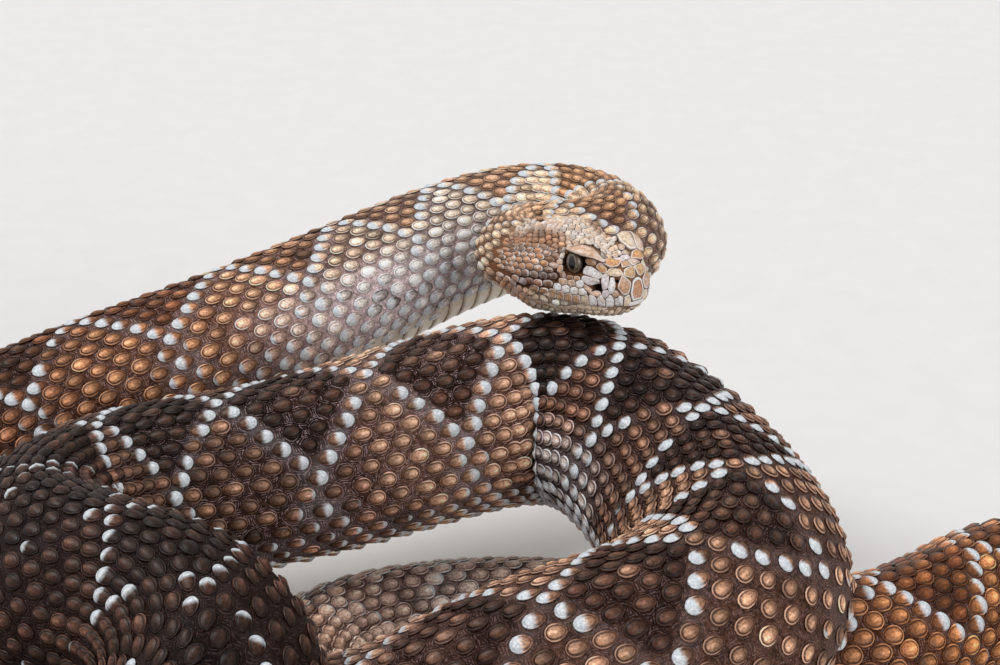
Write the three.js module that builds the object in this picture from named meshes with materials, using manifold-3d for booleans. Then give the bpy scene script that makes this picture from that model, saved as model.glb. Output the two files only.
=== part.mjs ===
// A coiled rattlesnake, life size, lying on the floor with its head resting on its own middle coil.
// Millimetres, +Z up, the floor at z = 0.  +X is the snake's right-hand coil, +Y is behind it.
// The body is one long loft along a centre line, parted by thin cuts into head, neck, trunk, tail and rattle.

import * as THREE from 'three';
import { mergeVertices } from 'three/addons/utils/BufferGeometryUtils.js';
import Module from 'manifold-3d';

const wasm = await Module();
wasm.setup();

// ---- driving dimensions ----

const CUT = 0.3; // gap between two neighbouring lengths of the body
const RING_SIDES = 16; // corners of one body section
const RING_STEP = 10; // distance between two body sections
const SPINE_STEP = 4; // distance between two points of the evened centre line
const SPINE_EASE = 14; // how often the centre line is eased, which rounds its tightest folds
const TRUNK_LENGTHS = 22; // separate lengths of the trunk
const NECK_END = 60; // where the neck ends, along the centre line from the head
const TAIL_LENGTH = 132; // from the vent to the root of the rattle
const TAIL_LENGTHS = 2;
const FOLD_START = 0.5; // share of the bend radius at which the inner side of a fold starts to flatten
const FOLD_ROOM = 0.3; // how much further it may go
const BELLY = 0.86; // how far the flat belly lies below the centre line, as a share of the half thickness
const FOOTING = [-3.65, 44.53]; // moves the middle of the whole coil to x = 0, y = 0

// The centre line from the back of the head to the root of the rattle, stretch by stretch:
// x, y, z, half thickness, and how far the back is rolled about the body's own direction, in degrees.

const neckBend = [
  [8.5, 18, 121.5, 11.6, 0],
  [1.5, 25.5, 120.5, 11.6, 0],
  [1.5, 34.5, 120, 12.6, 0],
  [12, 42, 118, 14.2, 0],
];

const turnBehindHead = [
  [27, 44, 114.5, 16, 0],
  [36, 55, 112, 18, 0],
  [37, 69, 110, 19.5, 0],
  [25, 83, 108, 20.5, 8],
  [7, 86, 106, 21.5, 14],
];

const backLoop = [
  [-20, 72, 102, 22.5, 18],
  [-52, 49, 95, 23.5, 20],
  [-87, 29, 86, 24.5, 20],
  [-121, 14, 77, 26, 16],
  [-155, -2, 67, 26.5, 10],
];

const outerSwing = [
  [-183, -29, 55, 27, 5],
  [-195, -69, 39.5, 27.5, 0],
  [-188, -110, 26, 28, 0],
  [-161, -143, 22, 28, 0],
  [-121, -164, 27.5, 28, 0],
  [-87, -164, 48, 28, 0],
];

const leftFold = [
  [-67, -141, 68, 28, 0],
  [-77, -115, 76, 28, 0],
  [-106, -97, 75, 28, 0],
  [-124, -71, 72, 27.5, 0],
  [-116, -48, 72, 27.5, 5],
];

const middleCoil = [
  [-92, -37, 73, 27.5, 8],
  [-63, -27, 74, 27.5, 12],
  [-30, -11, 76.5, 28.5, 16],
  [-2, 0, 80, 29, 20],
  [18, 1, 82, 29.5, 18],
];

const rightFold = [
  [35, -12, 81, 29.5, 10],
  [48, -33, 78, 30, 0],
  [59, -60, 74, 31, 3],
  [62, -87, 70, 31.5, 0],
];

const frontLeg = [
  [43, -107, 65.5, 31, -10],
  [9, -112, 58, 29.5, -18],
  [-25, -111, 39, 28.5, -14],
];

const groundLoop = [
  [-47, -101, 26.5, 27.5, -4],
  [-57, -80, 22.6, 27, 0],
  [-52, -55, 22, 26, 0],
  [-35, -40, 21.2, 25, 0],
];

const underCoil = [
  [-9, -32, 20.8, 24.5, 0],
  [22, -31, 20.3, 24, 0],
  [67, -39, 19.9, 23.5, 0],
  [108, -37, 19.5, 23, 0],
  [136, -17, 19, 22.5, 0],
  [159, 3, 18.6, 22, 0],
];

const tailCurve = [
  [188, 4, 17, 20, 0],
  [211, -18, 14.6, 17.5, 0],
  [214, -52, 12.1, 14.5, 0],
  [194, -83, 10.2, 12.5, 0],
  [162, -99, 7.9, 9.5, 0],
];

const bodyStretches = [
  neckBend, turnBehindHead, backLoop, outerSwing, leftFold,
  middleCoil, rightFold, frontLeg, groundLoop, underCoil, tailCurve,
];

// Head, in its own frame: x forward from the neck joint, y to its left, z up.

const HEAD_TURN = THREE.MathUtils.degToRad(-46);
const HEAD_LIFT = THREE.MathUtils.degToRad(7);
const HEAD_ROLL = THREE.MathUtils.degToRad(-3);
const HEAD_SIDES = 22;
const HEAD_RINGS = 22;
const EYE = { x: 30.6, y: 10.9, z: 5.6, radius: 3.1 };
const EYE_SOCKET_GAP = 0.35;

// x, half width, height above and depth below the mouth corner's level, squareness of the section
const headStations = [
  [0, 11.4, 11, 10.6, 2.0],
  [5, 13.2, 12.4, 11.4, 2.1],
  [10, 16.0, 14.0, 12.0, 2.3],
  [15, 16.6, 14.8, 12.0, 2.4],
  [20, 16.0, 14.8, 11.6, 2.5],
  [26, 14.4, 12.7, 11.0, 2.6],
  [31, 12.7, 11.7, 10.4, 2.7],
  [35.5, 10.9, 10.0, 10.0, 2.8],
  [39.5, 9.2, 7.8, 9.2, 2.7],
  [42.5, 7.0, 5.6, 7.2, 2.4],
];
const SNOUT_TIP = 44.4;
const NAPE = 11; // length over which the neck's outline becomes the head's
const BROW = { x: 33.4, spread: 3.7, angle: 0.95, width: 0.36, height: 2.3 };

// Rattle: a string of flattened, lobed segments that overlap like stacked cups.

const RATTLE = { segments: 9, pitch: 5.4, halfHeight: 8.6, halfWidth: 5.6, taper: 0.96, groove: 0.2 };

// ---- centre line ----

const waypoints = bodyStretches.flat().map(([x, y, ...rest]) => [x + FOOTING[0], y + FOOTING[1], ...rest]);
const route = new THREE.CatmullRomCurve3(
  waypoints.map(([x, y, z]) => new THREE.Vector3(x, y, z)), false, 'centripetal');

function lerp(a, b, t) {
  return a + (b - a) * t;
}

// Points at even steps along the route, each with its thickness and roll, then eased.
function evenSpine() {
  const perSpan = 16;
  const dense = [];
  const spans = waypoints.length - 1;
  for (let i = 0; i <= spans * perSpan; i++) {
    const span = Math.min(Math.floor(i / perSpan), spans - 1);
    const t = i / perSpan - span;
    const [, , , radiusA, rollA] = waypoints[span];
    const [, , , radiusB, rollB] = waypoints[span + 1];
    dense.push({ at: route.getPoint(i / (spans * perSpan)), radius: lerp(radiusA, radiusB, t), roll: lerp(rollA, rollB, t) });
  }
  const even = [dense[0]];
  let travelled = 0;
  for (let i = 1; i < dense.length; i++) {
    const length = dense[i].at.distanceTo(dense[i - 1].at);
    while ((even.length) * SPINE_STEP <= travelled + length) {
      const t = (even.length * SPINE_STEP - travelled) / length;
      even.push({
        at: dense[i - 1].at.clone().lerp(dense[i].at, t),
        radius: lerp(dense[i - 1].radius, dense[i].radius, t),
        roll: lerp(dense[i - 1].roll, dense[i].roll, t),
      });
    }
    travelled += length;
  }
  for (let pass = 0; pass < SPINE_EASE; pass++) {
    const eased = even.map((point, i) => {
      if (i === 0 || i === even.length - 1) return point;
      const [before, after] = [even[i - 1], even[i + 1]];
      return {
        at: point.at.clone().multiplyScalar(2).add(before.at).add(after.at).multiplyScalar(0.25),
        radius: (before.radius + 2 * point.radius + after.radius) / 4,
        roll: (before.roll + 2 * point.roll + after.roll) / 4,
      };
    });
    even.splice(0, even.length, ...eased);
  }
  return even;
}

const spine = evenSpine();
const spineLength = (spine.length - 1) * SPINE_STEP;

function spineAt(s) {
  const f = Math.min(Math.max(s / SPINE_STEP, 0), spine.length - 1.000001);
  const i = Math.floor(f);
  const [a, b] = [spine[i], spine[i + 1]];
  return { at: a.at.clone().lerp(b.at, f - i), radius: lerp(a.radius, b.radius, f - i), roll: lerp(a.roll, b.roll, f - i) };
}

// The body's own axes at a place along the centre line: ahead, back (dorsal) and side, with the bend.
function bodyFrame(s) {
  const reach = SPINE_STEP;
  const here = spineAt(s);
  const ahead = spineAt(s + reach).at.sub(spineAt(s - reach).at).normalize();
  const before = here.at.clone().sub(spineAt(s - 2 * reach).at).normalize();
  const after = spineAt(s + 2 * reach).at.sub(here.at).normalize();
  const bend = after.sub(before).divideScalar(2 * reach);
  bend.addScaledVector(ahead, -bend.dot(ahead));
  const up = new THREE.Vector3(0, 0, 1);
  up.addScaledVector(ahead, -up.dot(ahead)).normalize();
  up.applyAxisAngle(ahead, THREE.MathUtils.degToRad(here.roll));
  const side = new THREE.Vector3().crossVectors(ahead, up);
  return { ...here, ahead, up, side, bend };
}

// Outline of the body: a rounded triangle, with a low ridge along the back and a broad flat belly.
function bodySection(angle) {
  const up = Math.cos(angle);
  const side = Math.sin(angle);
  const ridge = 0.05 * Math.max(up, 0) ** 10;
  const flank = 1 + 0.035 * Math.sin(angle) ** 2 - 0.05 * Math.max(up, 0) * Math.abs(side) * 2;
  const belly = up < 0 ? 0.93 : 1;
  return { side: side * flank, up: Math.max(up * flank * belly, -BELLY) + ridge };
}

// A point of the outline in place: folds flatten on their inner side, and nothing goes below the floor.
function bodyPoint(frame, angle, room = 0) {
  const shape = bodySection(angle);
  const radius = frame.radius + room;
  const offset = new THREE.Vector3()
    .addScaledVector(frame.side, shape.side * radius)
    .addScaledVector(frame.up, shape.up * radius);
  const inward = offset.dot(frame.bend);
  if (inward > FOLD_START) {
    const held = FOLD_START + FOLD_ROOM * Math.tanh((inward - FOLD_START) / FOLD_ROOM);
    offset.addScaledVector(frame.bend, (held - inward) / frame.bend.lengthSq());
  }
  const point = frame.at.clone().add(offset);
  point.z = Math.max(point.z, 0);
  return point;
}

// ---- mesh building ----

// Closes a stack of rings, each an array of points, with a fan at either end.
function loft(rings) {
  const sides = rings[0].length;
  const corners = rings.flat().flatMap((p) => [p.x, p.y, p.z]);
  const faces = [];
  for (let i = 0; i < rings.length - 1; i++) {
    for (let j = 0; j < sides; j++) {
      const a = i * sides + j;
      const b = i * sides + (j + 1) % sides;
      faces.push(a, b, b + sides, a, b + sides, a + sides);
    }
  }
  for (const [ring, flip] of [[0, true], [rings.length - 1, false]]) {
    const middle = rings[ring].reduce((sum, p) => sum.add(p), new THREE.Vector3()).divideScalar(sides);
    const hub = corners.length / 3;
    corners.push(middle.x, middle.y, middle.z);
    for (let j = 0; j < sides; j++) {
      const a = ring * sides + j;
      const b = ring * sides + (j + 1) % sides;
      faces.push(...(flip ? [hub, b, a] : [hub, a, b]));
    }
  }
  const geometry = new THREE.BufferGeometry();
  geometry.setAttribute('position', new THREE.Float32BufferAttribute(corners, 3));
  geometry.setIndex(faces);
  return geometry;
}

function toSolid(geometry) {
  const bare = geometry.clone();
  bare.deleteAttribute('normal');
  bare.deleteAttribute('uv');
  const merged = mergeVertices(bare, 1e-4);
  return new wasm.Manifold(new wasm.Mesh({
    numProp: 3,
    vertProperties: Float32Array.from(merged.attributes.position.array),
    triVerts: Uint32Array.from(merged.index.array),
  }));
}

function toGeometry(solid) {
  const mesh = solid.getMesh();
  const geometry = new THREE.BufferGeometry();
  geometry.setAttribute('position', new THREE.Float32BufferAttribute(Array.from(mesh.vertProperties), 3));
  geometry.setIndex(Array.from(mesh.triVerts));
  return geometry;
}

function solidMesh(name, geometry, colour, roughness) {
  geometry.computeVertexNormals();
  const material = new THREE.MeshStandardMaterial({ color: colour, roughness, metalness: 0 });
  const mesh = new THREE.Mesh(geometry, material);
  mesh.name = name;
  return mesh;
}

// ---- body lengths ----

// One length between two cuts: each end is moved in by half a cut, so that neighbours face each other squarely.
function bodyLength(start, end) {
  const steps = Math.max(2, Math.round((end - start) / RING_STEP));
  const rings = [];
  for (let i = 0; i <= steps; i++) {
    const frame = bodyFrame(lerp(start, end, i / steps));
    if (i === 0) frame.at.addScaledVector(frame.ahead, CUT / 2);
    if (i === steps) frame.at.addScaledVector(frame.ahead, -CUT / 2);
    rings.push(Array.from({ length: RING_SIDES }, (_, j) => bodyPoint(frame, j * 2 * Math.PI / RING_SIDES)));
  }
  return loft(rings);
}

function bodyLengths(names, start, end, colour) {
  return names.map((name, i) => {
    const [from, to] = [lerp(start, end, i / names.length), lerp(start, end, (i + 1) / names.length)];
    return solidMesh(name, bodyLength(from, to), colour, 0.6);
  });
}

function numbered(stem, count) {
  return Array.from({ length: count }, (_, i) => `${stem}_${String(i + 1).padStart(2, '0')}`);
}

// ---- head and eyes ----

const headFrame = new THREE.Matrix4()
  .makeTranslation(waypoints[0][0], waypoints[0][1], waypoints[0][2])
  .multiply(new THREE.Matrix4().makeRotationZ(HEAD_TURN))
  .multiply(new THREE.Matrix4().makeRotationY(-HEAD_LIFT))
  .multiply(new THREE.Matrix4().makeRotationX(HEAD_ROLL));

function headStation(x) {
  let i = 0;
  while (i < headStations.length - 2 && headStations[i + 1][0] < x) i++;
  const [a, b] = [headStations[i], headStations[i + 1]];
  const t = Math.min(Math.max((x - a[0]) / (b[0] - a[0]), 0), 1);
  return a.map((value, k) => lerp(value, b[k], t));
}

function power(value, exponent) {
  return Math.sign(value) * Math.abs(value) ** exponent;
}

function headPoint(x, angle) {
  const [, halfWidth, above, below, squareness] = headStation(x);
  const side = power(Math.cos(angle), 2 / squareness);
  const rise = power(Math.sin(angle), 2 / squareness);
  const fromBrow = (Math.abs(Math.atan2(Math.sin(angle), Math.abs(Math.cos(angle)))) - BROW.angle) / BROW.width;
  const alongBrow = (x - BROW.x) / BROW.spread;
  const brow = Math.sin(angle) > 0 ? BROW.height * Math.exp(-(fromBrow ** 2) - alongBrow ** 2) : 0;
  const y = side * (halfWidth + brow);
  const z = rise * (rise > 0 ? above + brow : below);
  return new THREE.Vector3(x, y, z).applyMatrix4(headFrame);
}

// The back of the head takes over the neck's outline, and turns from the neck's direction to its own.
function headRing(x) {
  const joint = bodyFrame(0);
  const own = THREE.MathUtils.smoothstep(x, 0, NAPE);
  return Array.from({ length: HEAD_SIDES }, (_, j) => {
    const angle = j * 2 * Math.PI / HEAD_SIDES;
    const neck = bodyPoint(joint, Math.PI / 2 - angle).addScaledVector(joint.ahead, -x - CUT / 2);
    return neck.lerp(headPoint(x, angle), own);
  });
}

function headSolid() {
  const last = headStations[headStations.length - 1][0];
  const rings = Array.from({ length: HEAD_RINGS + 1 }, (_, i) => headRing(last * i / HEAD_RINGS));
  const tip = new THREE.Vector3(SNOUT_TIP, 0, -0.4).applyMatrix4(headFrame);
  rings.push(rings[HEAD_RINGS].map((p) => p.clone().lerp(tip, 0.5)));
  return toSolid(loft(rings));
}

function eyeBall(side, radius) {
  const ball = new THREE.SphereGeometry(radius, 14, 10);
  ball.applyMatrix4(new THREE.Matrix4().makeTranslation(EYE.x, side * EYE.y, EYE.z));
  ball.applyMatrix4(headFrame);
  return ball;
}

function makeHead() {
  let head = headSolid();
  for (const side of [-1, 1]) head = head.subtract(toSolid(eyeBall(side, EYE.radius + EYE_SOCKET_GAP)));
  return [
    solidMesh('head', toGeometry(head), 0xa97b55, 0.6),
    solidMesh('eye_right', toGeometry(toSolid(eyeBall(-1, EYE.radius))), 0x6f6a5c, 0.15),
    solidMesh('eye_left', toGeometry(toSolid(eyeBall(1, EYE.radius))), 0x6f6a5c, 0.15),
  ];
}

// ---- rattle ----

function makeRattle() {
  const end = bodyFrame(spineLength);
  const rings = [];
  const sides = 16;
  const lobes = [[0.06, 0.62], [0.3, 1], [0.72, 0.94], [0.94, 0.66]];
  for (let k = 0; k < RATTLE.segments; k++) {
    for (const [along, swell] of lobes) {
      const distance = CUT + (k + along) * RATTLE.pitch;
      const size = RATTLE.taper ** k * swell;
      const ring = [];
      for (let j = 0; j < sides; j++) {
        const angle = j * 2 * Math.PI / sides;
        const waist = 1 - RATTLE.groove * Math.exp(-((Math.cos(angle) / 0.45) ** 2));
        const point = end.at.clone()
          .addScaledVector(end.ahead, distance)
          .addScaledVector(end.side, Math.sin(angle) * RATTLE.halfWidth * size * waist)
          .addScaledVector(end.up, Math.cos(angle) * RATTLE.halfHeight * size);
        point.z = Math.max(point.z - (end.radius - RATTLE.halfHeight) * 0.4, 0);
        ring.push(point);
      }
      rings.push(ring);
    }
  }
  return solidMesh('rattle', loft(rings), 0xb09a72, 0.5);
}

// ---- the whole snake ----

const snake = new THREE.Group();
const ventAt = spineLength - TAIL_LENGTH;
snake.add(...makeHead());
snake.add(...bodyLengths(['neck'], 0, NECK_END, 0xb98a62));
snake.add(...bodyLengths(numbered('trunk', TRUNK_LENGTHS), NECK_END, ventAt, 0x6b4a35));
snake.add(...bodyLengths(numbered('tail', TAIL_LENGTHS), ventAt, spineLength, 0x7d5c40));
snake.add(makeRattle());

export default snake;
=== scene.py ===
import math
import bpy
import numpy as np
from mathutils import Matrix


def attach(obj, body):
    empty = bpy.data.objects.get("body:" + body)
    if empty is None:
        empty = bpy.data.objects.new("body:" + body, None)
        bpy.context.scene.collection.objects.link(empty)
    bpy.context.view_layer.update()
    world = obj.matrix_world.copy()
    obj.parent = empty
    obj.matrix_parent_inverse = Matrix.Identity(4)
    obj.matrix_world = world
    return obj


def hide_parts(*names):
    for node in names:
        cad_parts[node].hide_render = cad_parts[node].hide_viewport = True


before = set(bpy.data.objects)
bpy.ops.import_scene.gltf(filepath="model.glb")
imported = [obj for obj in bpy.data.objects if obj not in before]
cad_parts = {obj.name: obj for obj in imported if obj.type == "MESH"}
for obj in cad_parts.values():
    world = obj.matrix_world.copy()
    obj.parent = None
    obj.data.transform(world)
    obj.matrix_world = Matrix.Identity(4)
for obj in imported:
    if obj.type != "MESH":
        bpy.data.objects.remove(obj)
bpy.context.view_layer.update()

# Camera.  It stands in front of the animal and looks a little down at the head, which lies on the
# middle coil; the lens frames the head, the middle coil and the folds on either side of it.
MM = 0.001
AIM = np.array([-3.65, 44.53, 106.0]) * MM
CAMERA_DISTANCE = 574 * MM
CAMERA_ELEVATION = math.radians(24)
camera = bpy.data.objects.new("camera", bpy.data.cameras.new("camera"))
camera.data.lens = 70
camera.data.sensor_width = 36
camera.location = AIM + CAMERA_DISTANCE * np.array([0, -math.cos(CAMERA_ELEVATION),
                                                    math.sin(CAMERA_ELEVATION)])
camera.rotation_euler = (math.radians(90) - CAMERA_ELEVATION, 0, 0)
bpy.context.collection.objects.link(camera)
bpy.context.scene.camera = camera
bpy.context.scene.view_settings.view_transform = "Standard"

# Centre line of the body.  One muscular tube runs from the back of the head to the rattle; its path,
# half thickness and roll are given stretch by stretch and eased, so that its folds are round.
# x, y, z and half thickness in millimetres, roll of the back in degrees
WAYPOINTS = np.array([
    # neck, and its turn behind the head
    [8.5, 18, 121.5, 11.6, 0], [1.5, 25.5, 120.5, 11.6, 0], [1.5, 34.5, 120, 12.6, 0],
    [12, 42, 118, 14.2, 0],
    [27, 44, 114.5, 16, 0], [36, 55, 112, 18, 0], [37, 69, 110, 19.5, 0], [25, 83, 108, 20.5, 8],
    [7, 86, 106, 21.5, 14],
    # back loop
    [-20, 72, 102, 22.5, 18], [-52, 49, 95, 23.5, 20], [-87, 29, 86, 24.5, 20], [-121, 14, 77, 26, 16],
    [-155, -2, 67, 26.5, 10],
    # outer swing, down to the floor and up again
    [-183, -29, 55, 27, 5], [-195, -69, 39.5, 27.5, 0], [-188, -110, 26, 28, 0], [-161, -143, 22, 28, 0],
    [-121, -164, 27.5, 28, 0], [-87, -164, 48, 28, 0],
    # left fold
    [-67, -141, 68, 28, 0], [-77, -115, 76, 28, 0], [-106, -97, 75, 28, 0], [-124, -71, 72, 27.5, 0],
    [-116, -48, 72, 27.5, 5],
    # middle coil
    [-92, -37, 73, 27.5, 8], [-63, -27, 74, 27.5, 12], [-30, -11, 76.5, 28.5, 16], [-2, 0, 80, 29, 20],
    [18, 1, 82, 29.5, 18],
    # right fold and the leg in front
    [35, -12, 81, 29.5, 10], [48, -33, 78, 30, 0], [59, -60, 74, 31, 3], [62, -87, 70, 31.5, 0],
    [43, -107, 65.5, 31, -10], [9, -112, 58, 29.5, -18], [-25, -111, 39, 28.5, -14],
    # loop on the floor, and the length under the middle coil
    [-47, -101, 26.5, 27.5, -4], [-57, -80, 22.6, 27, 0], [-52, -55, 22, 26, 0], [-35, -40, 21.2, 25, 0],
    [-9, -32, 20.8, 24.5, 0], [22, -31, 20.3, 24, 0], [67, -39, 19.9, 23.5, 0], [108, -37, 19.5, 23, 0],
    [136, -17, 19, 22.5, 0], [159, 3, 18.6, 22, 0],
    # tail
    [188, 4, 17, 20, 0], [211, -18, 14.6, 17.5, 0], [214, -52, 12.1, 14.5, 0], [194, -83, 10.2, 12.5, 0],
    [162, -99, 7.9, 9.5, 0]], dtype=float)
FOOTING = (-3.65, 44.53)
SPINE_STEP = 4.0
SPINE_EASE = 14
SPANS_FINE = 16
FOLD_START = 0.5
FOLD_ROOM = 0.3
# the body's section, in shares of its half thickness: how far the belly reaches down, how much flatter
# the underside is, how full the flanks are, how the back slopes away, and how high its ridge stands
BELLY, UNDERSIDE, FLANK_FULL, BACK_SLOPE, RIDGE = 0.86, 0.93, 0.035, 0.1, 0.05


def unit(vectors):
    return vectors / np.maximum(np.linalg.norm(vectors, axis=-1, keepdims=True), 1e-9)


def curve_through(points, fine, alpha):
    """Points on a Catmull-Rom curve; the first three columns are the place, the rest is blended."""
    ends = np.vstack([2 * points[0] - points[1], points, 2 * points[-1] - points[-2]])
    t = np.arange(fine)[:, None] / fine
    spans = []
    for before, a, b, after in zip(ends, ends[1:], ends[2:], ends[3:]):
        gaps = [max(1e-4, np.linalg.norm(q[:3] - p[:3]) ** alpha)
                for p, q in ((before, a), (a, b), (b, after))]
        out = ((a - before) / gaps[0] - (b - before) / (gaps[0] + gaps[1]) + (b - a) / gaps[1]) * gaps[1]
        into = ((b - a) / gaps[1] - (after - a) / (gaps[1] + gaps[2]) + (after - b) / gaps[2]) * gaps[1]
        spans.append(a + out * t + (3 * (b - a) - 2 * out - into) * t ** 2
                     + (2 * (a - b) + out + into) * t ** 3)
    return np.vstack(spans + [points[-1:]])


def even_spine():
    """The eased centre line, one row per millimetre: place, half thickness, roll."""
    points = WAYPOINTS.copy()
    points[:, :2] += FOOTING
    route = curve_through(points, SPANS_FINE, 0.5)
    knots = np.arange(len(points))
    fine = np.linspace(0, knots[-1], len(route))
    for column in (3, 4):
        route[:, column] = np.interp(fine, knots, points[:, column])
    travelled = np.r_[0, np.cumsum(np.linalg.norm(np.diff(route[:, :3], axis=0), axis=1))]
    stations = np.arange(0, travelled[-1] + 1e-9, SPINE_STEP)
    even = np.stack([np.interp(stations, travelled, route[:, k]) for k in range(5)], 1)
    for _ in range(SPINE_EASE):
        even[1:-1] = (even[:-2] + 2 * even[1:-1] + even[2:]) / 4
    return curve_through(even, int(SPINE_STEP), 0.0)


spine = even_spine()
BODY_LENGTH = len(spine) - 1.0


def spine_at(s):
    f = np.clip(s, 0, BODY_LENGTH)
    low = np.minimum(f.astype(int), len(spine) - 2)
    t = (f - low)[..., None]
    return spine[low] * (1 - t) + spine[low + 1] * t


def body_frame(s):
    """Place, half thickness, and the axes ahead (tailward), up (dorsal), side, with the bend, at s mm."""
    s = np.asarray(s, dtype=float)
    here = spine_at(s)
    place = here[..., :3]
    ahead = unit(spine_at(s + SPINE_STEP)[..., :3] - spine_at(s - SPINE_STEP)[..., :3])
    far = 2 * SPINE_STEP
    bend = (unit(spine_at(s + far)[..., :3] - place) - unit(place - spine_at(s - far)[..., :3])) / far
    bend -= ahead * np.sum(bend * ahead, -1, keepdims=True)
    up = np.zeros_like(ahead)
    up[..., 2] = 1
    up = unit(up - ahead * np.sum(up * ahead, -1, keepdims=True))
    roll = np.radians(here[..., 4])[..., None]
    up = up * np.cos(roll) + np.cross(ahead, up) * np.sin(roll)
    return place, here[..., 3], ahead, up, np.cross(ahead, up), bend


def body_point(s, angle, room=0.0, floor=0.0):
    """A point of the body's outline, in mm: angle 0 is the middle of the back, room is added outwards."""
    place, radius, _, up, side, bend = body_frame(s)
    rise, spread = np.cos(angle), np.sin(angle)
    flank = 1 + FLANK_FULL * spread ** 2 - BACK_SLOPE * np.maximum(rise, 0) * np.abs(spread)
    height = np.maximum(rise * flank * np.where(rise < 0, UNDERSIDE, 1), -BELLY)
    height = height + RIDGE * np.maximum(rise, 0) ** 10
    thickness = radius + room
    offset = side * (spread * flank * thickness)[..., None] + up * (height * thickness)[..., None]
    inward = np.sum(offset * bend, -1)
    held = FOLD_START + FOLD_ROOM * np.tanh((inward - FOLD_START) / FOLD_ROOM)
    shift = np.where(inward > FOLD_START, held - inward, 0) / np.maximum(np.sum(bend * bend, -1), 1e-9)
    point = place + offset + bend * shift[..., None]
    point[..., 2] = np.maximum(point[..., 2], floor)
    return point


def body_squeeze(s, angle):
    """How much of its length the skin keeps here: 1 when straight, less on the inner side of a bend."""
    _, radius, _, up, side, bend = body_frame(s)
    offset = side * (np.sin(angle) * radius)[..., None] + up * (np.cos(angle) * radius)[..., None]
    inward = np.sum(offset * bend, -1)
    held = FOLD_START + FOLD_ROOM * np.tanh((inward - FOLD_START) / FOLD_ROOM)
    return 1 - np.where(inward > FOLD_START, held, inward)


# Head.  A broad flat wedge of bone and jaw muscle: a narrow neck, swollen temples, a blunt muzzle that
# drops steeply at the rostral scale, brows that overhang the eyes, and a heat pit behind each nostril.
HEAD_TURN, HEAD_LIFT, HEAD_ROLL = math.radians(-46), math.radians(7), math.radians(-3)
# x forward from the neck, half width, height above and depth below the eye's level, squareness
HEAD_STATIONS = np.array([
    [0, 11.4, 11, 10.6, 2.0], [5, 13.2, 12.4, 11.4, 2.1], [10, 16.0, 14.0, 12.0, 2.3],
    [15, 16.6, 14.8, 12.0, 2.4], [20, 16.0, 14.8, 11.6, 2.5], [26, 14.4, 12.7, 11.0, 2.6],
    [31, 12.7, 11.7, 10.4, 2.7], [35.5, 10.9, 10.0, 10.0, 2.8], [39.5, 9.2, 7.8, 9.2, 2.7],
    [42.5, 7.0, 5.6, 7.2, 2.4]])
SNOUT_TIP = 44.4
SNOUT_SHOULDER = 42.5
SNOUT_ROUND, SNOUT_DROP = 2.4, 0.4
NAPE = 11.0
BROW_X, BROW_SPREAD, BROW_ANGLE, BROW_WIDTH, BROW_HEIGHT = 33.4, 3.7, 0.95, 0.36, 2.3
EYE = np.array([30.8, 11.3, 6.9])
EYE_RADIUS = 3.15
# where the mouth line runs: x, and z below the eye's level
MOUTH_LINE = np.array([[6, -0.3], [10, -0.9], [14.6, -2.0], [21.8, -4.1], [28.6, -5.3], [33, -5.9],
                       [38, -6.1], [45, -6.4]])
PIT = np.array([37.9, 10.0, 0.2])
NOSTRIL = np.array([42.5, 6.7, 2.4])
# dents of the skin on both sides: place, width, depth; a swelling has a negative depth
DENTS = [(PIT, 1.25, 2.4), (NOSTRIL, 0.8, 1.3), ((38.4, 9.2, 4.6), 2.2, 0.7), ((39.4, 6.2, 6.9), 2.0, -0.8),
         ((42.6, 2.6, 5.2), 1.6, -0.5)]
FORM_STEP, TURN_STEP = 0.25, 0.02
SNOUT_CORE = 38.0


def turned(angle, axis):
    c, s = math.cos(angle), math.sin(angle)
    a, b = [k for k in range(3) if k != axis]
    matrix = np.eye(3)
    matrix[a, a] = matrix[b, b] = c
    matrix[a, b], matrix[b, a] = (-s, s) if axis != 1 else (s, -s)
    return matrix


HEAD_PLACE = WAYPOINTS[0, :3] + [*FOOTING, 0]
HEAD_AXES = turned(HEAD_TURN, 2) @ turned(-HEAD_LIFT, 1) @ turned(HEAD_ROLL, 0)


def to_world(points):
    return points @ HEAD_AXES.T + HEAD_PLACE


def station(x):
    """The head's half width, height, depth and squareness at x, on smooth curves through the stations."""
    knots, values = HEAD_STATIONS[:, 0], HEAD_STATIONS[:, 1:]
    slopes = np.gradient(values, knots, axis=0)
    x = np.clip(x, knots[0], knots[-1])
    i = np.clip(np.searchsorted(knots, x, side="right") - 1, 0, len(knots) - 2)
    span = (knots[i + 1] - knots[i])[..., None]
    t = (x - knots[i])[..., None] / span
    a, b, out, into = values[i], values[i + 1], slopes[i] * span, slopes[i + 1] * span
    section = a + out * t + (3 * (b - a) - 2 * out - into) * t ** 2 + (2 * (a - b) + out + into) * t ** 3
    return np.moveaxis(section, -1, 0)


def past_shoulder(x):
    """How far x is past the snout's shoulder, where 1 is the snout's tip."""
    return np.maximum((x - SNOUT_SHOULDER) / (SNOUT_TIP - SNOUT_SHOULDER), 0)


def brow_at(x, tilt, upper):
    """How far the brow stands out at x, at a tilt above the level, on the upper half of the head."""
    bump = np.exp(-(((tilt - BROW_ANGLE) / BROW_WIDTH) ** 2) - ((x - BROW_X) / BROW_SPREAD) ** 2)
    return np.where(upper, BROW_HEIGHT * bump, 0)


def mouth_at(x):
    return np.interp(x, MOUTH_LINE[:, 0], MOUTH_LINE[:, 1])


def powered(value, exponent):
    return np.sign(value) * np.abs(value) ** exponent


def smooth(value, low, high):
    t = np.clip((value - low) / (high - low), 0, 1)
    return t * t * (3 - 2 * t)


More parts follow.
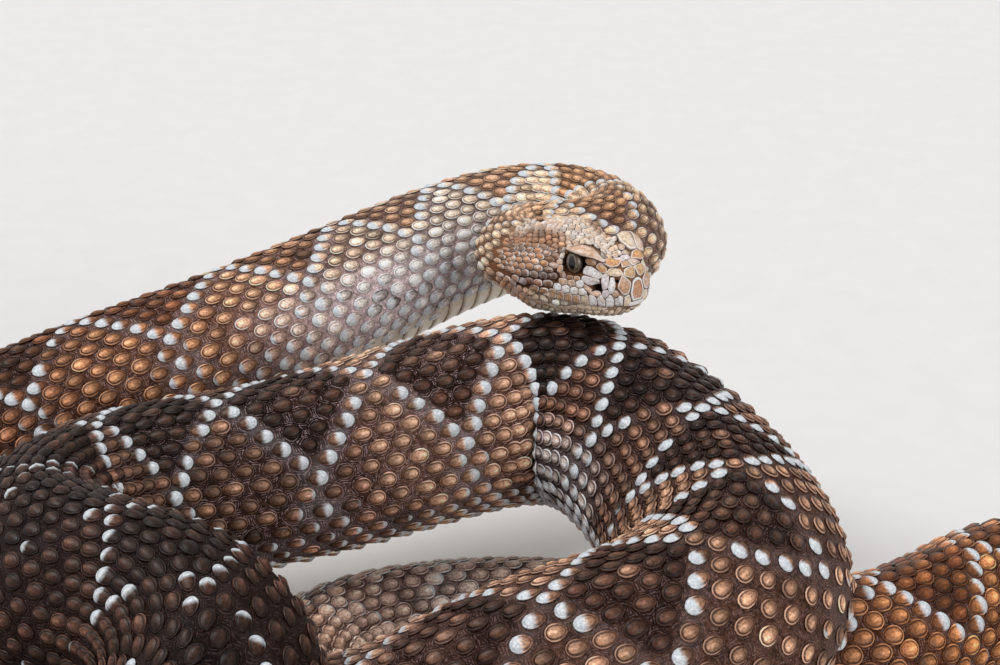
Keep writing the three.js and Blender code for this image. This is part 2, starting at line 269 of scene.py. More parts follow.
def head_form(x, angle):
    """Bare form of the head in its own frame, before its folds."""
    half_width, above, below, square = station(x)
    past = np.minimum(past_shoulder(x), 1)
    shrink = np.maximum(1 - past ** SNOUT_ROUND, 0) ** (1 / SNOUT_ROUND)
    spread = powered(np.sin(angle), 2 / square)
    rise = powered(np.cos(angle), 2 / square)
    tilt = np.abs(np.arctan2(np.cos(angle), np.abs(np.sin(angle))))
    brow = brow_at(x, tilt, np.cos(angle) > 0)
    y = spread * (half_width + brow) * shrink
    z = rise * np.where(rise > 0, above + brow, below) * shrink - SNOUT_DROP * past
    return np.stack([np.broadcast_to(x, y.shape), y, z], -1)


def folds(form):
    """How deep the folds and pits go at places on the head's form; ridges are negative."""
    x, side, z = form[..., 0], np.abs(form[..., 1]), form[..., 2]

    def near(place, width):
        gap = (x - place[0]) ** 2 + (side - place[1]) ** 2 + (z - place[2]) ** 2
        return np.exp(-gap / width ** 2)

    eye_gap = np.sqrt((x - EYE[0]) ** 2 + (side - EYE[1]) ** 2 + (z - EYE[2]) ** 2)
    mouth = mouth_at(x)
    # the mouth line, the eye's socket, the pit, the nostril, the hollow before the eye and the ridge above
    depth = 0.9 * np.exp(-((z - mouth) / 0.38) ** 2) * smooth(x, 6, 11) * (side > 2)
    depth += 1.3 * smooth(eye_gap, 4.3, 2.6) * (z < 9.5)
    depth += sum(deep * near(place, width) for place, width, deep in DENTS)
    # the trough between the brows, the fold behind the far brow, the crease over the corner of the mouth
    depth += 1.7 * np.exp(-(side / 5.0) ** 2) * smooth(x, 20, 27) * smooth(x, 42, 37) * (z > 0)
    depth += 2.2 * smooth(form[..., 1], 1, 6) * smooth(x, 16, 22) * smooth(x, 32.5, 28.5) * smooth(z, 4, 8)
    depth += 0.5 * np.exp(-((z - mouth - 1.7) / 0.8) ** 2) * smooth(x, 9, 13) * smooth(x, 30, 24)
    # the swelling behind the near brow
    return depth - 1.1 * near((28.8, 11.0, 9.8), 2.4) * (form[..., 1] < 0)


def head_point(x, angle, lift=0.0):
    """A point of the head's skin in the world, in mm: its form, folds and pits, then lifted by lift."""
    x, angle = np.broadcast_arrays(np.asarray(x, dtype=float), np.asarray(angle, dtype=float))
    form = head_form(x, angle)
    along = head_form(np.minimum(x + FORM_STEP, SNOUT_TIP), angle) - head_form(x - FORM_STEP, angle)
    round_ = head_form(x, angle + TURN_STEP) - head_form(x, angle - TURN_STEP)
    normal = unit(np.cross(along, round_))
    outward = form - np.array([1, 0, 0]) * np.minimum(x, SNOUT_CORE)[..., None]
    normal *= np.where(np.sum(normal * outward, -1, keepdims=True) < 0, -1, 1)
    return to_world(form + normal * (lift - folds(form))[..., None])


def head_ring(x, angle, lift=0.0, coat=0.0):
    """The head's skin, taking over the neck's outline across the nape."""
    own = smooth(x, 0, NAPE)[..., None]
    neck = body_point(np.zeros_like(angle), angle, lift - coat * (1 - own[..., 0]))
    ahead = body_frame(np.zeros(1))[2][0]
    return (neck - ahead * np.asarray(x)[..., None]) * (1 - own) + head_point(x, angle, lift - coat) * own


def head_depth(points):
    """How far points in the head's frame lie outside its form: 0 on it, negative inside; and its slope."""

    def value(p):
        half_width, above, below, square = station(p[..., 0])
        past = past_shoulder(p[..., 0])
        y, z = p[..., 1], p[..., 2] + SNOUT_DROP * np.minimum(past, 1)
        tilt = np.arctan2(np.abs(z) / np.where(z > 0, above, below), np.abs(y) / half_width + 1e-9)
        brow = brow_at(p[..., 0], tilt, z > 0)
        ratio = (np.abs(y / (half_width + brow)) ** square
                 + np.abs(z / np.where(z > 0, above + brow, below)) ** square) ** (1 / square)
        return (ratio ** SNOUT_ROUND + past ** SNOUT_ROUND) ** (1 / SNOUT_ROUND) - 1

    here = value(points)
    slope = np.stack([(value(points + 0.03 * axis) - value(points - 0.03 * axis)) / 0.06
                      for axis in np.eye(3)], -1)
    return here, slope


def on_head(points):
    """The same points moved onto the head's form, and the outward directions there."""
    for _ in range(6):
        depth, slope = head_depth(points)
        points = points - slope * (depth / np.maximum(np.sum(slope * slope, -1), 1e-9))[..., None]
    return points, unit(head_depth(points)[1])


def angle_on(form):
    """The angle that head_form takes, of points on the head's form."""
    half_width, above, below, square = station(form[..., 0])
    y, z = form[..., 1], form[..., 2] + SNOUT_DROP * np.minimum(past_shoulder(form[..., 0]), 1)
    return np.arctan2(powered(y / half_width, square / 2),
                      powered(z / np.where(z > 0, above, below), square / 2))


# Pattern.  A chain of dark, light-edged diamonds runs down the back, six scales to a diamond; lines of
# white-tipped scales cross on the ridge, and small pale marks lie low on the flanks.
# arc lengths, in mm, of the places where the white lines cross on the ridge
CROSSINGS = np.r_[0, 35, 70, 105, 142, 178, 218, np.linspace(266, 618, 9), 652, 690, 727, 762, 806, 852, 891,
                  930, 958, 991, 1026, np.arange(1068, 1660, 42)]
SCALES_PER_DIAMOND = 6
# along the body, arc lengths and how much there: the strength of the markings, the pale flank of the
# neck and of the bend behind it, the small marks low down, and the lilac of the skin
MARK_STRENGTH = ([0, 60, 160, 520, 580, 700, 740, 1040, 1120, 1240, 1300, 1500],
                 [0.5, 0.8, 1, 1, 0.75, 0.75, 1, 1, 0.35, 0.35, 0.9, 0.75])
PALE_NECK = ([60, 120, 185, 230], [0, 1, 1, 0])
PALE_BEND = ([865, 885, 915, 935], [0, 1, 1, 0])
LOW_MARKS = ([0, 560, 640, 900, 1100], [0.8, 0.3, 0.5, 0.9, 0.2])
LILAC = ([0, 200, 290, 420, 560, 700, 760, 850, 862, 880, 930, 1040, 1150, 1300],
         [0.5, 0.7, 0.35, 0.25, 0.08, 0.08, 0.5, 0.75, 0.1, 0.2, 0.2, 0.2, 0.9, 0.3])
FLANK_PALER = 2.4
FLANK_WHITE, BELLY_CREAM = np.array([0.90, 0.88, 0.88]), np.array([0.77, 0.64, 0.48])
BELLY_STARTS, BELLY_FULL = math.radians(112), math.radians(150)
ROWS_EACH_SIDE = 13
SIDE_OF_BACK = math.radians(129.6)
# colours of a scale along the body: arc length, tan of the light scales, brown of the dark ones
# the left fold (560 to 700) is dark partly as painted shade; the stretch at 868, where the head's shadow
# falls, is darkened as a painted shadow; the stretch under the middle coil (1140 to 1200) is made paler as
# painted light against the shade it lies in
TONES = [
    (0, (0.78, 0.57, 0.40), (0.51, 0.28, 0.16)), (90, (0.80, 0.54, 0.35), (0.45, 0.23, 0.11)),
    (150, (0.92, 0.82, 0.68), (0.66, 0.42, 0.28)), (210, (0.74, 0.44, 0.28), (0.40, 0.20, 0.11)),
    (240, (0.54, 0.27, 0.14), (0.24, 0.092, 0.040)), (285, (0.30, 0.13, 0.064), (0.11, 0.041, 0.018)),
    (430, (0.17, 0.085, 0.054), (0.064, 0.028, 0.017)), (560, (0.060, 0.027, 0.017), (0.024, 0.011, 0.007)),
    (700, (0.067, 0.030, 0.020), (0.021, 0.010, 0.007)), (745, (0.14, 0.074, 0.048), (0.037, 0.017, 0.011)),
    (775, (0.18, 0.099, 0.065), (0.045, 0.021, 0.014)), (795, (0.30, 0.16, 0.11), (0.060, 0.027, 0.017)),
    (810, (0.65, 0.40, 0.27), (0.099, 0.045, 0.028)), (852, (0.65, 0.38, 0.26), (0.085, 0.038, 0.026)),
    (868, (0.13, 0.060, 0.040), (0.018, 0.010, 0.007)),
    (890, (0.20, 0.099, 0.064), (0.040, 0.017, 0.011)), (935, (0.21, 0.11, 0.071), (0.048, 0.021, 0.014)),
    (965, (0.38, 0.21, 0.13), (0.078, 0.035, 0.023)), (1040, (0.42, 0.24, 0.16), (0.11, 0.052, 0.034)),
    (1140, (0.66, 0.44, 0.34), (0.38, 0.23, 0.17)), (1200, (0.88, 0.72, 0.64), (0.70, 0.50, 0.40)),
    (1280, (0.38, 0.18, 0.099), (0.16, 0.064, 0.028)), (1340, (0.47, 0.19, 0.071), (0.14, 0.045, 0.016)),
    (1480, (0.51, 0.28, 0.16), (0.18, 0.078, 0.040)), (1560, (0.57, 0.37, 0.23), (0.26, 0.13, 0.071))]


def rows_at(s):
    """How many scale rows lie on either side of the middle one: fewer before the vent and on the tail."""
    return np.interp(s, [0, 60, 200, 1050, 1200, 1330, 1400, 1500, 1560],
                     [11.4, 12, 13, 13, 11.8, 10.2, 9.6, 8, 7])


def row_angle(s, row):
    return np.sign(row) * SIDE_OF_BACK * (np.abs(row) / rows_at(s)) ** 1.06


def row_of(s, angle):
    return np.sign(angle) * rows_at(s) * (np.abs(angle) / SIDE_OF_BACK) ** (1 / 1.06)


def column_of(s):
    return np.interp(s, CROSSINGS, SCALES_PER_DIAMOND * np.arange(len(CROSSINGS)))


def at_column(column):
    return np.interp(column, SCALES_PER_DIAMOND * np.arange(len(CROSSINGS)), CROSSINGS)


def markings(s, angle):
    """Pigment, and how far each scale is white-tipped and dark, at a place on the back or the flank."""
    column, row = column_of(s), row_of(s, angle)
    from_middle = np.abs(2 * (column % SCALES_PER_DIAMOND) - SCALES_PER_DIAMOND)
    height = np.abs(row)
    out = from_middle + height
    fade = np.interp(s, *MARK_STRENGTH)
    edge = np.exp(-((out - 6.0) / 0.75) ** 2) * smooth(height, 9.0, 6.5)
    corner = np.exp(-((height - 8.0) / 1.3) ** 2) * smooth(from_middle, 2.6, 0.8)
    low = smooth(height, 8.6, 10.6) * np.interp(s, *LOW_MARKS)
    flank = smooth(height, 5.0, 8.0) * np.interp(s, *PALE_NECK)
    flank += 0.5 * smooth(height, 5.2, 8.5) * np.interp(s, *PALE_BEND)
    white = np.clip(edge + 0.8 * corner + low + 0.45 * flank, 0, 1) * fade
    inside = smooth(out, 5.4, 4.0)
    heart = smooth(out, 3.2, 0.5)
    blotch = np.exp(-((height - 10.0) / 1.5) ** 2) * smooth(from_middle, 3.0, 5.2)
    dark = np.clip(inside * (1 - 0.72 * heart) + 0.85 * blotch + 0.2 * smooth(out, 12, 9), 0, 1)
    dark = dark * (0.35 + 0.65 * fade)
    stations = [tone[0] for tone in TONES]
    light_tone, dark_tone = (
        np.stack([np.interp(s, stations, [tone[k][i] for tone in TONES]) for i in range(3)], -1)
        for k in (1, 2))
    pigment = light_tone * (1 - dark[..., None]) + dark_tone * dark[..., None]
    belly = smooth(np.abs(angle), BELLY_STARTS, BELLY_FULL)[..., None]
    pigment = pigment * (1 - 0.55 * belly) + BELLY_CREAM * 0.55 * belly
    flank = 0.85 * flank[..., None]
    return pigment * (1 - flank) + FLANK_WHITE * flank, white, dark


# Skin.  One soft, unbroken hide covers the animal from the rostral scale to the rattle: thin lilac-grey
# skin, finely rippled, that shows between the scales and folds up where the body bends sharply.
SKIN_COLUMNS = 112
SKIN_STEP = 2.6
HEAD_STEP = 0.5
SKIN_FOLD_ROOM = 0.45
BODY_COAT, HEAD_COAT, HEAD_COAT_ENDS = 0.95, 0.5, 20


class Term:
    """A node's output that can stand in sums; the maths nodes are made as it is used."""

    def __init__(self, tree, out):
        self.tree, self.out = tree, out

    @staticmethod
    def node(tree, kind, settings=None, inputs=None, output=0):
        made = tree.nodes.new(kind)
        for name, value in (settings or {}).items():
            setattr(made, name, value)
        for key, value in (inputs or {}).items():
            if isinstance(value, Term):
                tree.links.new(value.out, made.inputs[key])
            else:
                made.inputs[key].default_value = value
        return Term(tree, made.outputs[output])

    def maths(self, operation, *values):
        return Term.node(self.tree, "ShaderNodeMath", {"operation": operation}, dict(enumerate(values)))

    def __add__(self, other):
        return self.maths("ADD", self, other)

    def __radd__(self, other):
        return self.maths("ADD", other, self)

    def __sub__(self, other):
        return self.maths("SUBTRACT", self, other)

    def __rsub__(self, other):
        return self.maths("SUBTRACT", other, self)

    def __mul__(self, other):
        return self.maths("MULTIPLY", self, other)

    def __rmul__(self, other):
        return self.maths("MULTIPLY", other, self)

    def __truediv__(self, other):
        return self.maths("DIVIDE", self, other)

    def __pow__(self, other):
        return self.maths("POWER", self, other)

    def __abs__(self):
        return self.maths("ABSOLUTE", self)

    def part(self):
        return self.maths("FRACT", self)

    def sine(self):
        return self.maths("SINE", self)

    def least(self, other):
        return self.maths("MINIMUM", self, other)

    def most(self, other):
        return self.maths("MAXIMUM", self, other)

    def ramp(self, low, high, first=0.0, last=1.0):
        """first below low, last above high, and smooth in between."""
        return Term.node(self.tree, "ShaderNodeMapRange", {"interpolation_type": "SMOOTHSTEP"},
                         {"Value": self, "From Min": low, "From Max": high, "To Min": first, "To Max": last})

    def blend(self, first, second):
        """The first colour where this is 0, the second where it is 1."""
        return Term.node(self.tree, "ShaderNodeMix", {"data_type": "RGBA"},
                         {0: self, 6: first, 7: second}, output=2)

    def tint(self, colour):
        """This colour times another."""
        colour = colour if isinstance(colour, Term) else colour[:3]
        return Term.node(self.tree, "ShaderNodeVectorMath", {"operation": "MULTIPLY"}, {0: self, 1: colour})

    def capped(self, top=0.93):
        """This colour, no paler than keratin gets."""
        return Term.node(self.tree, "ShaderNodeVectorMath", {"operation": "MINIMUM"},
                         {0: self, 1: (top,) * 3})


def new_material(name):
    material = bpy.data.materials.new(name)
    material.use_nodes = True
    return material, material.node_tree


def attribute(tree, name, output="Fac"):
    return Term.node(tree, "ShaderNodeAttribute", {"attribute_name": name}, output=output)


def object_place(tree):
    return Term.node(tree, "ShaderNodeTexCoord", output="Object")


def noise(tree, scale, detail):
    return Term.node(tree, "ShaderNodeTexNoise", None,
                     {"Vector": object_place(tree), "Scale": scale, "Detail": detail})


def finish_material(tree, height=None, distance=0.001, strength=1.0, **inputs):
    shader = tree.nodes["Principled BSDF"]
    for name, value in inputs.items():
        name = name.replace("_", " ")
        if isinstance(value, Term):
            value = value.capped() if name == "Base Color" else value
            tree.links.new(value.out, shader.inputs[name])
        else:
            shader.inputs[name].default_value = value
    if height is not None:
        bump = Term.node(tree, "ShaderNodeBump", None,
                         {"Height": height, "Distance": distance, "Strength": strength})
        tree.links.new(bump.out, shader.inputs["Normal"])


def mesh_piece(name, points, faces, *materials):
    """An object with smooth faces, from points in millimetres."""
    mesh = bpy.data.meshes.new(name)
    mesh.from_pydata((np.asarray(points) * MM).tolist(), [], faces)
    for material in materials:
        mesh.materials.append(material)
    mesh.polygons.foreach_set("use_smooth", [True] * len(mesh.polygons))
    piece = bpy.data.objects.new(name, mesh)
    bpy.context.collection.objects.link(piece)
    return piece


def keep_values(piece, **fields):
    """Keeps a number or a vector for every point of a piece, which its material or its tree reads."""
    for name, values in fields.items():
        values = np.asarray(values, dtype=np.float32)
        kind, field = ("FLOAT", "value") if values.ndim == 1 else ("FLOAT_VECTOR", "vector")
        piece.data.attributes.new(name, kind, "POINT").data.foreach_set(field, values.ravel())


def grid_faces(rows, columns, first=0, closed=True):
    """Quads between rings of points; closed joins the last column to the first."""
    faces = []
    for row in range(rows - 1):
        for column in range(columns if closed else columns - 1):
            a = first + row * columns + column
            b = first + row * columns + (column + 1) % columns
            faces.append((a, b, b + columns, a + columns))
    return faces


def skin_material():
    material, tree = new_material("snake_skin")
    pigment = attribute(tree, "pigment", "Vector")
    white, head = attribute(tree, "white"), attribute(tree, "on_head")
    column, row = attribute(tree, "column"), attribute(tree, "row")
    # the distance from the nearest scale, on the two sets of rows
    even = ((abs((column + 0.5).part() - 0.5) * 1.6) ** 2
            + (abs((row * 0.5 + 0.5).part() - 0.5) * 2) ** 2) ** 0.5
    odd = ((abs(column.part() - 0.5) * 1.6) ** 2 + (abs((row * 0.5).part() - 0.5) * 2) ** 2) ** 0.5
    near = even.least(odd)
    wander = noise(tree, 520, 3)
    ripples = (near * 46 + wander * 16).sine() * wander.ramp(0.3, 0.6) * (1 - head)
    net = Term.node(tree, "ShaderNodeTexVoronoi", {"feature": "DISTANCE_TO_EDGE"},
                    {"Vector": object_place(tree), "Scale": 1150})
    mottle = noise(tree, 900, 4)
    patches = noise(tree, 210, 3)
    lilac = attribute(tree, "lilac")
    bare = mottle.ramp(0.3, 0.7).blend(pigment.tint((0.14, 0.115, 0.115)), pigment.tint((0.34, 0.29, 0.30)))
    bare = patches.ramp(0.45, 0.68, 0.0, 0.7).blend(bare, bare.tint((0.4, 0.38, 0.4)))
    # lilac lines on the crests of the ripples: the skin's own lilac, with painted highlight on the crests
    lines = ripples.ramp(0.0, 0.9) * mottle.ramp(0.3, 0.55) * lilac
    bare = lines.blend(bare, (0.48, 0.35, 0.35, 1))
    bluish = (white * lilac * 0.35).blend(bare, (0.51, 0.48, 0.51, 1))
    colour = head.blend(bluish, pigment.tint((0.46, 0.39, 0.35)))
    shade = net.ramp(0.0, 0.13, 0.5, 1.0).blend((0.42, 0.37, 0.36, 1), (1.12, 1.1, 1.1, 1))
    fine = noise(tree, 2600, 3)
    finish_material(tree, ripples * 0.4 + net.ramp(0, 0.2) * 0.5 + fine * 0.4, 0.00022, 0.8,
                    Base_Color=colour.tint(shade), Roughness=mottle.ramp(0.2, 0.8, 0.42, 0.62),
                    Specular_IOR_Level=0.06)
    return material


def coat_depth(s):
    """How far the skin lies under the tips of the scales, s mm behind the head."""
    return np.where(s < HEAD_COAT_ENDS, HEAD_COAT + (BODY_COAT - HEAD_COAT) * s / HEAD_COAT_ENDS, BODY_COAT)


def build_skin():
    angles = -np.arange(SKIN_COLUMNS) * 2 * math.pi / SKIN_COLUMNS
    tip = SNOUT_SHOULDER + (SNOUT_TIP - SNOUT_SHOULDER) * np.sin(np.radians([84, 74, 62, 48, 34, 18]))
    head_stations = np.r_[tip, np.arange(SNOUT_SHOULDER, 0.01, -HEAD_STEP)]
    body_stations = np.r_[0.0, np.arange(1.2, BODY_LENGTH - 1.3, SKIN_STEP), BODY_LENGTH]
    x, angle = np.meshgrid(head_stations, angles, indexing="ij")
    head_part = head_ring(x, angle, 0.0, HEAD_COAT)
    s, round_ = np.meshgrid(body_stations, angles, indexing="ij")
    body_part = body_point(s, round_, -coat_depth(s), SKIN_FOLD_ROOM)
    nose = head_ring(np.array([SNOUT_TIP]), np.array([0.0]), 0.0, HEAD_COAT)
    points = np.vstack([head_part.reshape(-1, 3), body_part.reshape(-1, 3), nose])
    rings = len(head_stations) + len(body_stations)
    faces = grid_faces(rings, SKIN_COLUMNS)
    last = rings * SKIN_COLUMNS
    faces += [(last, (k + 1) % SKIN_COLUMNS, k) for k in range(SKIN_COLUMNS)]
    faces.append(tuple(last - SKIN_COLUMNS + k for k in range(SKIN_COLUMNS)))
    piece = mesh_piece("snake_skin", points, faces, skin_material())
    all_s = np.r_[-x.ravel(), s.ravel(), -SNOUT_TIP]
    all_angle = np.r_[angle.ravel(), round_.ravel(), 0.0]
    all_angle = (all_angle + math.pi) % (2 * math.pi) - math.pi
    behind = np.maximum(all_s, 0)
    row = row_of(behind, all_angle)
    pigment, white, _ = markings(behind, all_angle)
    # skin on the neck's flanks is made paler still: its own pale colour, raised further as painted light
    # against the shade under the neck
    pigment *= 1 + FLANK_PALER * (smooth(np.abs(row), 5, 8) * np.interp(all_s, *PALE_NECK))[:, None]
    on_head = smooth(-all_s, -30, 4)
    head_tone = head_colour(-np.minimum(all_s, 0), all_angle)
    pigment = pigment * (1 - on_head[:, None]) + head_tone * on_head[:, None]
    keep_values(piece, pigment=pigment, white=white * (1 - on_head), on_head=on_head,
                lilac=np.interp(all_s, *LILAC), column=column_of(behind), row=row)
    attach(piece, "root")
    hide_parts("head", "neck",
                *(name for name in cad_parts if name.startswith(("trunk_", "tail_"))))


def head_colour(x, angle):
    """Pigment of the head: tan crown, pale lips, brown band behind the eye, dark bands on the nape; painted
    shade in the groove above the brows, in the heat pits and in the nostrils.
    """
    tilt = np.degrees(np.abs(angle))
    crown = np.array([0.71, 0.51, 0.35])
    tan = np.array([0.47, 0.24, 0.12])
    pale = np.array([0.85, 0.78, 0.65])
    brown = np.array([0.12, 0.048, 0.026])
    red_brown = np.array([0.28, 0.11, 0.048])
    chin = np.array([0.71, 0.57, 0.43])

    def mix(base, colour, amount):
        return base * (1 - amount[..., None]) + colour * amount[..., None]

    shade = mix(np.broadcast_to(crown, x.shape + (3,)), tan, smooth(tilt, 30, 50))
    shade = mix(shade, pale, smooth(tilt, 97, 106) * smooth(x, 10, 26))
    shade = mix(shade, chin, smooth(tilt, 116, 136))
    band = np.exp(-((tilt - 37) / 9) ** 2) * smooth(x, 27, 20)
    stripe = np.interp(x, [8, 13, 20.4, 26.6, 31], [95, 92, 87, 78, 73])
    stripe = np.exp(-(np.abs(tilt - stripe) / 9.5) ** 2.4) * smooth(x, 32, 28.5) * smooth(x, 4, 10)
    shade = mix(shade, red_brown, 0.8 * band)
    shade = mix(shade, brown, 0.95 * stripe)
    shade = mix(shade, np.array([0.71, 0.38, 0.18]), smooth(x, 37, 41) * smooth(tilt, 75, 50) * 0.8)
    # painted shade in the groove above the brow
    groove = np.exp(-((tilt - 35 + 0.55 * (x - 33.6)) / 3) ** 2) * smooth(x, 28, 30) * smooth(x, 39.5, 37.5)
    shade = mix(shade, brown * 0.4, 0.9 * groove)
    socket = np.hypot(x - EYE[0], (tilt - 60) * 0.24)
    shade = mix(shade, brown * 0.4, smooth(socket, 4.6, 3.6))
    # painted shade: the heat pit and the nostril are nearly black inside
    pit = np.hypot(x - PIT[0], (tilt - 89) * 0.18)
    nostril = np.hypot(x - NOSTRIL[0], (tilt - 70) * 0.13)
    return mix(shade, brown * 0.1, np.maximum(smooth(pit, 1.9, 1.2), smooth(nostril, 1.1, 0.6)))


build_skin()


# Scales of the back and flanks.  Each is a stiff oval plate of keratin with a keel, hinged at its front
# edge on the skin; they stand in slanting rows, close up where the body bends and part on its outside.
COAT_SEED = 11
SCALES_PER_PIECE = 1180
SCALE_THICK = 0.85
SCALE_CLEAR = 0.02
SCALE_KEEL, SCALE_RIM, SCALE_GLOSS = 0.42, 0.24, 0.34
SCALE_LEAN, LEAST_LEAN, MOST_LEAN = 0.42, 0.05, 0.24
# how much single scales differ: place round the body and along it, size, turn and lean, tips and tones
ROUND_WANDER, ALONG_WANDER, SIZE_WANDER, TURN_WANDER, LEAN_WANDER = 0.007, 0.16, 0.05, 0.035, 0.03
WHITE_WANDER, DARK_WANDER, TONE_WANDER, TONE_MIDDLE = 0.09, 0.10, 0.33, -0.02
# arc lengths, and the share of scales drawn without their white tips there; on the left fold this is part of
# its painted shade
TIPS_LEFT_PLAIN = ([0, 520, 560, 730, 760, 875, 895, 1010, 1040],
             [0.03, 0.03, 0.3, 0.3, 0.06, 0.06, 0.28, 0.28, 0.1])
# the part of a scale that shows, by arc length: its length on a body 28 mm thick, and length to width
SCALE_SIZES = [(0, 10.0, 2.0), (70, 8.2, 1.8), (150, 6.6, 1.45), (200, 6.4, 1.38), (540, 6.3, 1.35),
               (660, 5.6, 1.36),
               (1060, 5.6, 1.36), (1160, 5.9, 1.12), (1300, 7.7, 1.16), (1480, 7.6, 1.2), (1560, 7.0, 1.3)]
# the plate's outline from front to rear: place along it, half width, height of its dome
SCALE_SHAPE = np.array([
    [0.0, 0.24, 0.06], [0.10, 0.52, 0.34], [0.24, 0.80, 0.66], [0.42, 0.96, 0.92], [0.60, 1.0, 1.0],
    [0.78, 0.90, 0.88], [0.92, 0.60, 0.50], [1.0, 0.24, 0.10]])
SCALE_ACROSS = np.array([-1, -0.76, -0.38, 0, 0.38, 0.76, 1])


def border_of(rows, columns):
    """The points round the edge of a plate, in order."""
    border = list(range(columns)) + [columns * k + columns - 1 for k in range(1, rows)]
    border += list(range(columns * rows - 2, columns * (rows - 1) - 1, -1))
    return border + [columns * k for k in range(rows - 2, 0, -1)]


def scale_template():
    """One plate, one long and one wide, with the values that its material and its bake map read."""
    points, values = [], []
    for along, half, height in SCALE_SHAPE:
        for across in SCALE_ACROSS:
            ridge = SCALE_KEEL * math.exp(-(across / 0.25) ** 2)
            ridge *= float(smooth(along, 0.2, 0.65) * smooth(along, 1.0, 0.8))
            top = SCALE_RIM + (1 - SCALE_RIM) * height * (1 - abs(across) ** 2.6) + ridge
            points.append((along - 0.5, across * half / 2, top))
            values.append((along, across))
    rows, columns = len(SCALE_SHAPE), len(SCALE_ACROSS)
    faces = grid_faces(rows, columns, closed=False)
    border = border_of(rows, columns)
    first = len(points)
    for k in border:
        x, y, _ = points[k]
        points.append((x * 0.93, y * 0.9, 0.0))
        values.append(values[k])
    for k in range(len(border)):
        after = (k + 1) % len(border)
        faces.append((border[k], first + k, first + after, border[after]))
    faces.append(tuple(first + k for k in reversed(range(len(border)))))
    points, values = np.array(points), np.array(values)
    template = mesh_piece("scale_form", points / MM, [tuple(reversed(face)) for face in faces])
    keep_values(template, along=values[:, 0], across=values[:, 1], patch=points * [1, 1, 0])
    return template


def coat_tree():
    """Stands a template on every point, turned and sized as the point says, and maps each to its root."""
    tree = bpy.data.node_groups.new("scales_on_points", "GeometryNodeTree")
    face = tree.interface
    for name, kind in (("Geometry", "Geometry"), ("Scale form", "Object"), ("Patch width", "Float"),
                       ("Material", "Material")):
        face.new_socket(name, in_out="INPUT", socket_type="NodeSocket" + kind)
    face.new_socket("Geometry", in_out="OUTPUT", socket_type="NodeSocketGeometry")
    start, end = tree.nodes.new("NodeGroupInput"), tree.nodes.new("NodeGroupOutput")
    points, template, patch_width, material = (Term(tree, start.outputs[k]) for k in range(4))

    def stored(name):
        return Term.node(tree, "GeometryNodeInputNamedAttribute", {"data_type": "FLOAT_VECTOR"},
                         {"Name": name})

    form = Term.node(tree, "GeometryNodeObjectInfo", None, {"Object": template}, output="Geometry")
    turn = Term.node(tree, "FunctionNodeEulerToRotation", None, {0: stored("turn")})
    stood = Term.node(tree, "GeometryNodeInstanceOnPoints", None,
                      {"Points": points, "Instance": form, "Rotation": turn, "Scale": stored("size")})
    joined = Term.node(tree, "GeometryNodeRealizeInstances", None, {0: stood})
    local = Term.node(tree, "ShaderNodeVectorMath", {"operation": "SCALE"},
                      {0: stored("patch"), "Scale": patch_width})
    place = Term.node(tree, "ShaderNodeVectorMath", {"operation": "ADD"}, {0: stored("root"), 1: local})
    mapped = Term.node(tree, "GeometryNodeStoreNamedAttribute", {"data_type": "FLOAT2", "domain": "CORNER"},
                       {"Geometry": joined, "Name": "OFBake", "Value": place})
    painted = Term.node(tree, "GeometryNodeSetMaterial", None, {"Geometry": mapped, "Material": material})
    tree.links.new(painted.out, end.inputs[0])
    return tree


COAT_TREE = coat_tree()
PATCH_WIDTH = 0.003


def euler_of(ahead, normal):
    """Euler angles that turn x to ahead and z to the normal."""
    x_axis = unit(ahead)
    z_axis = unit(normal - x_axis * np.sum(normal * x_axis, -1, keepdims=True))
    y_axis = np.cross(z_axis, x_axis)
    return np.stack([np.arctan2(y_axis[:, 2], z_axis[:, 2]), -np.arcsin(np.clip(x_axis[:, 2], -1, 1)),
                     np.arctan2(x_axis[:, 1], x_axis[:, 0])], 1)


def coat_piece(name, template, material, points, ahead, normal, size, root, values):
    """A piece of coat from points in mm, with the directions, sizes and values of its scales."""
    cloud = mesh_piece(name, points, [])
    keep_values(cloud, turn=euler_of(ahead, normal), size=size * MM,
                root=np.c_[root, np.zeros(len(root))], **values)
    coat = cloud.modifiers.new("coat", "NODES")
    coat.node_group = COAT_TREE
    sockets = {item.name: item.identifier for item in COAT_TREE.interface.items_tree
               if item.in_out == "INPUT"}
    for key, value in (("Scale form", template), ("Patch width", PATCH_WIDTH), ("Material", material)):
        coat[sockets[key]] = value
    solid = bpy.data.meshes.new_from_object(cloud.evaluated_get(bpy.context.evaluated_depsgraph_get()))
    cloud.modifiers.clear()
    cloud.data = solid
    solid.name = name
    solid.polygons.foreach_set("use_smooth", [True] * len(solid.polygons))
    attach(cloud, "root")


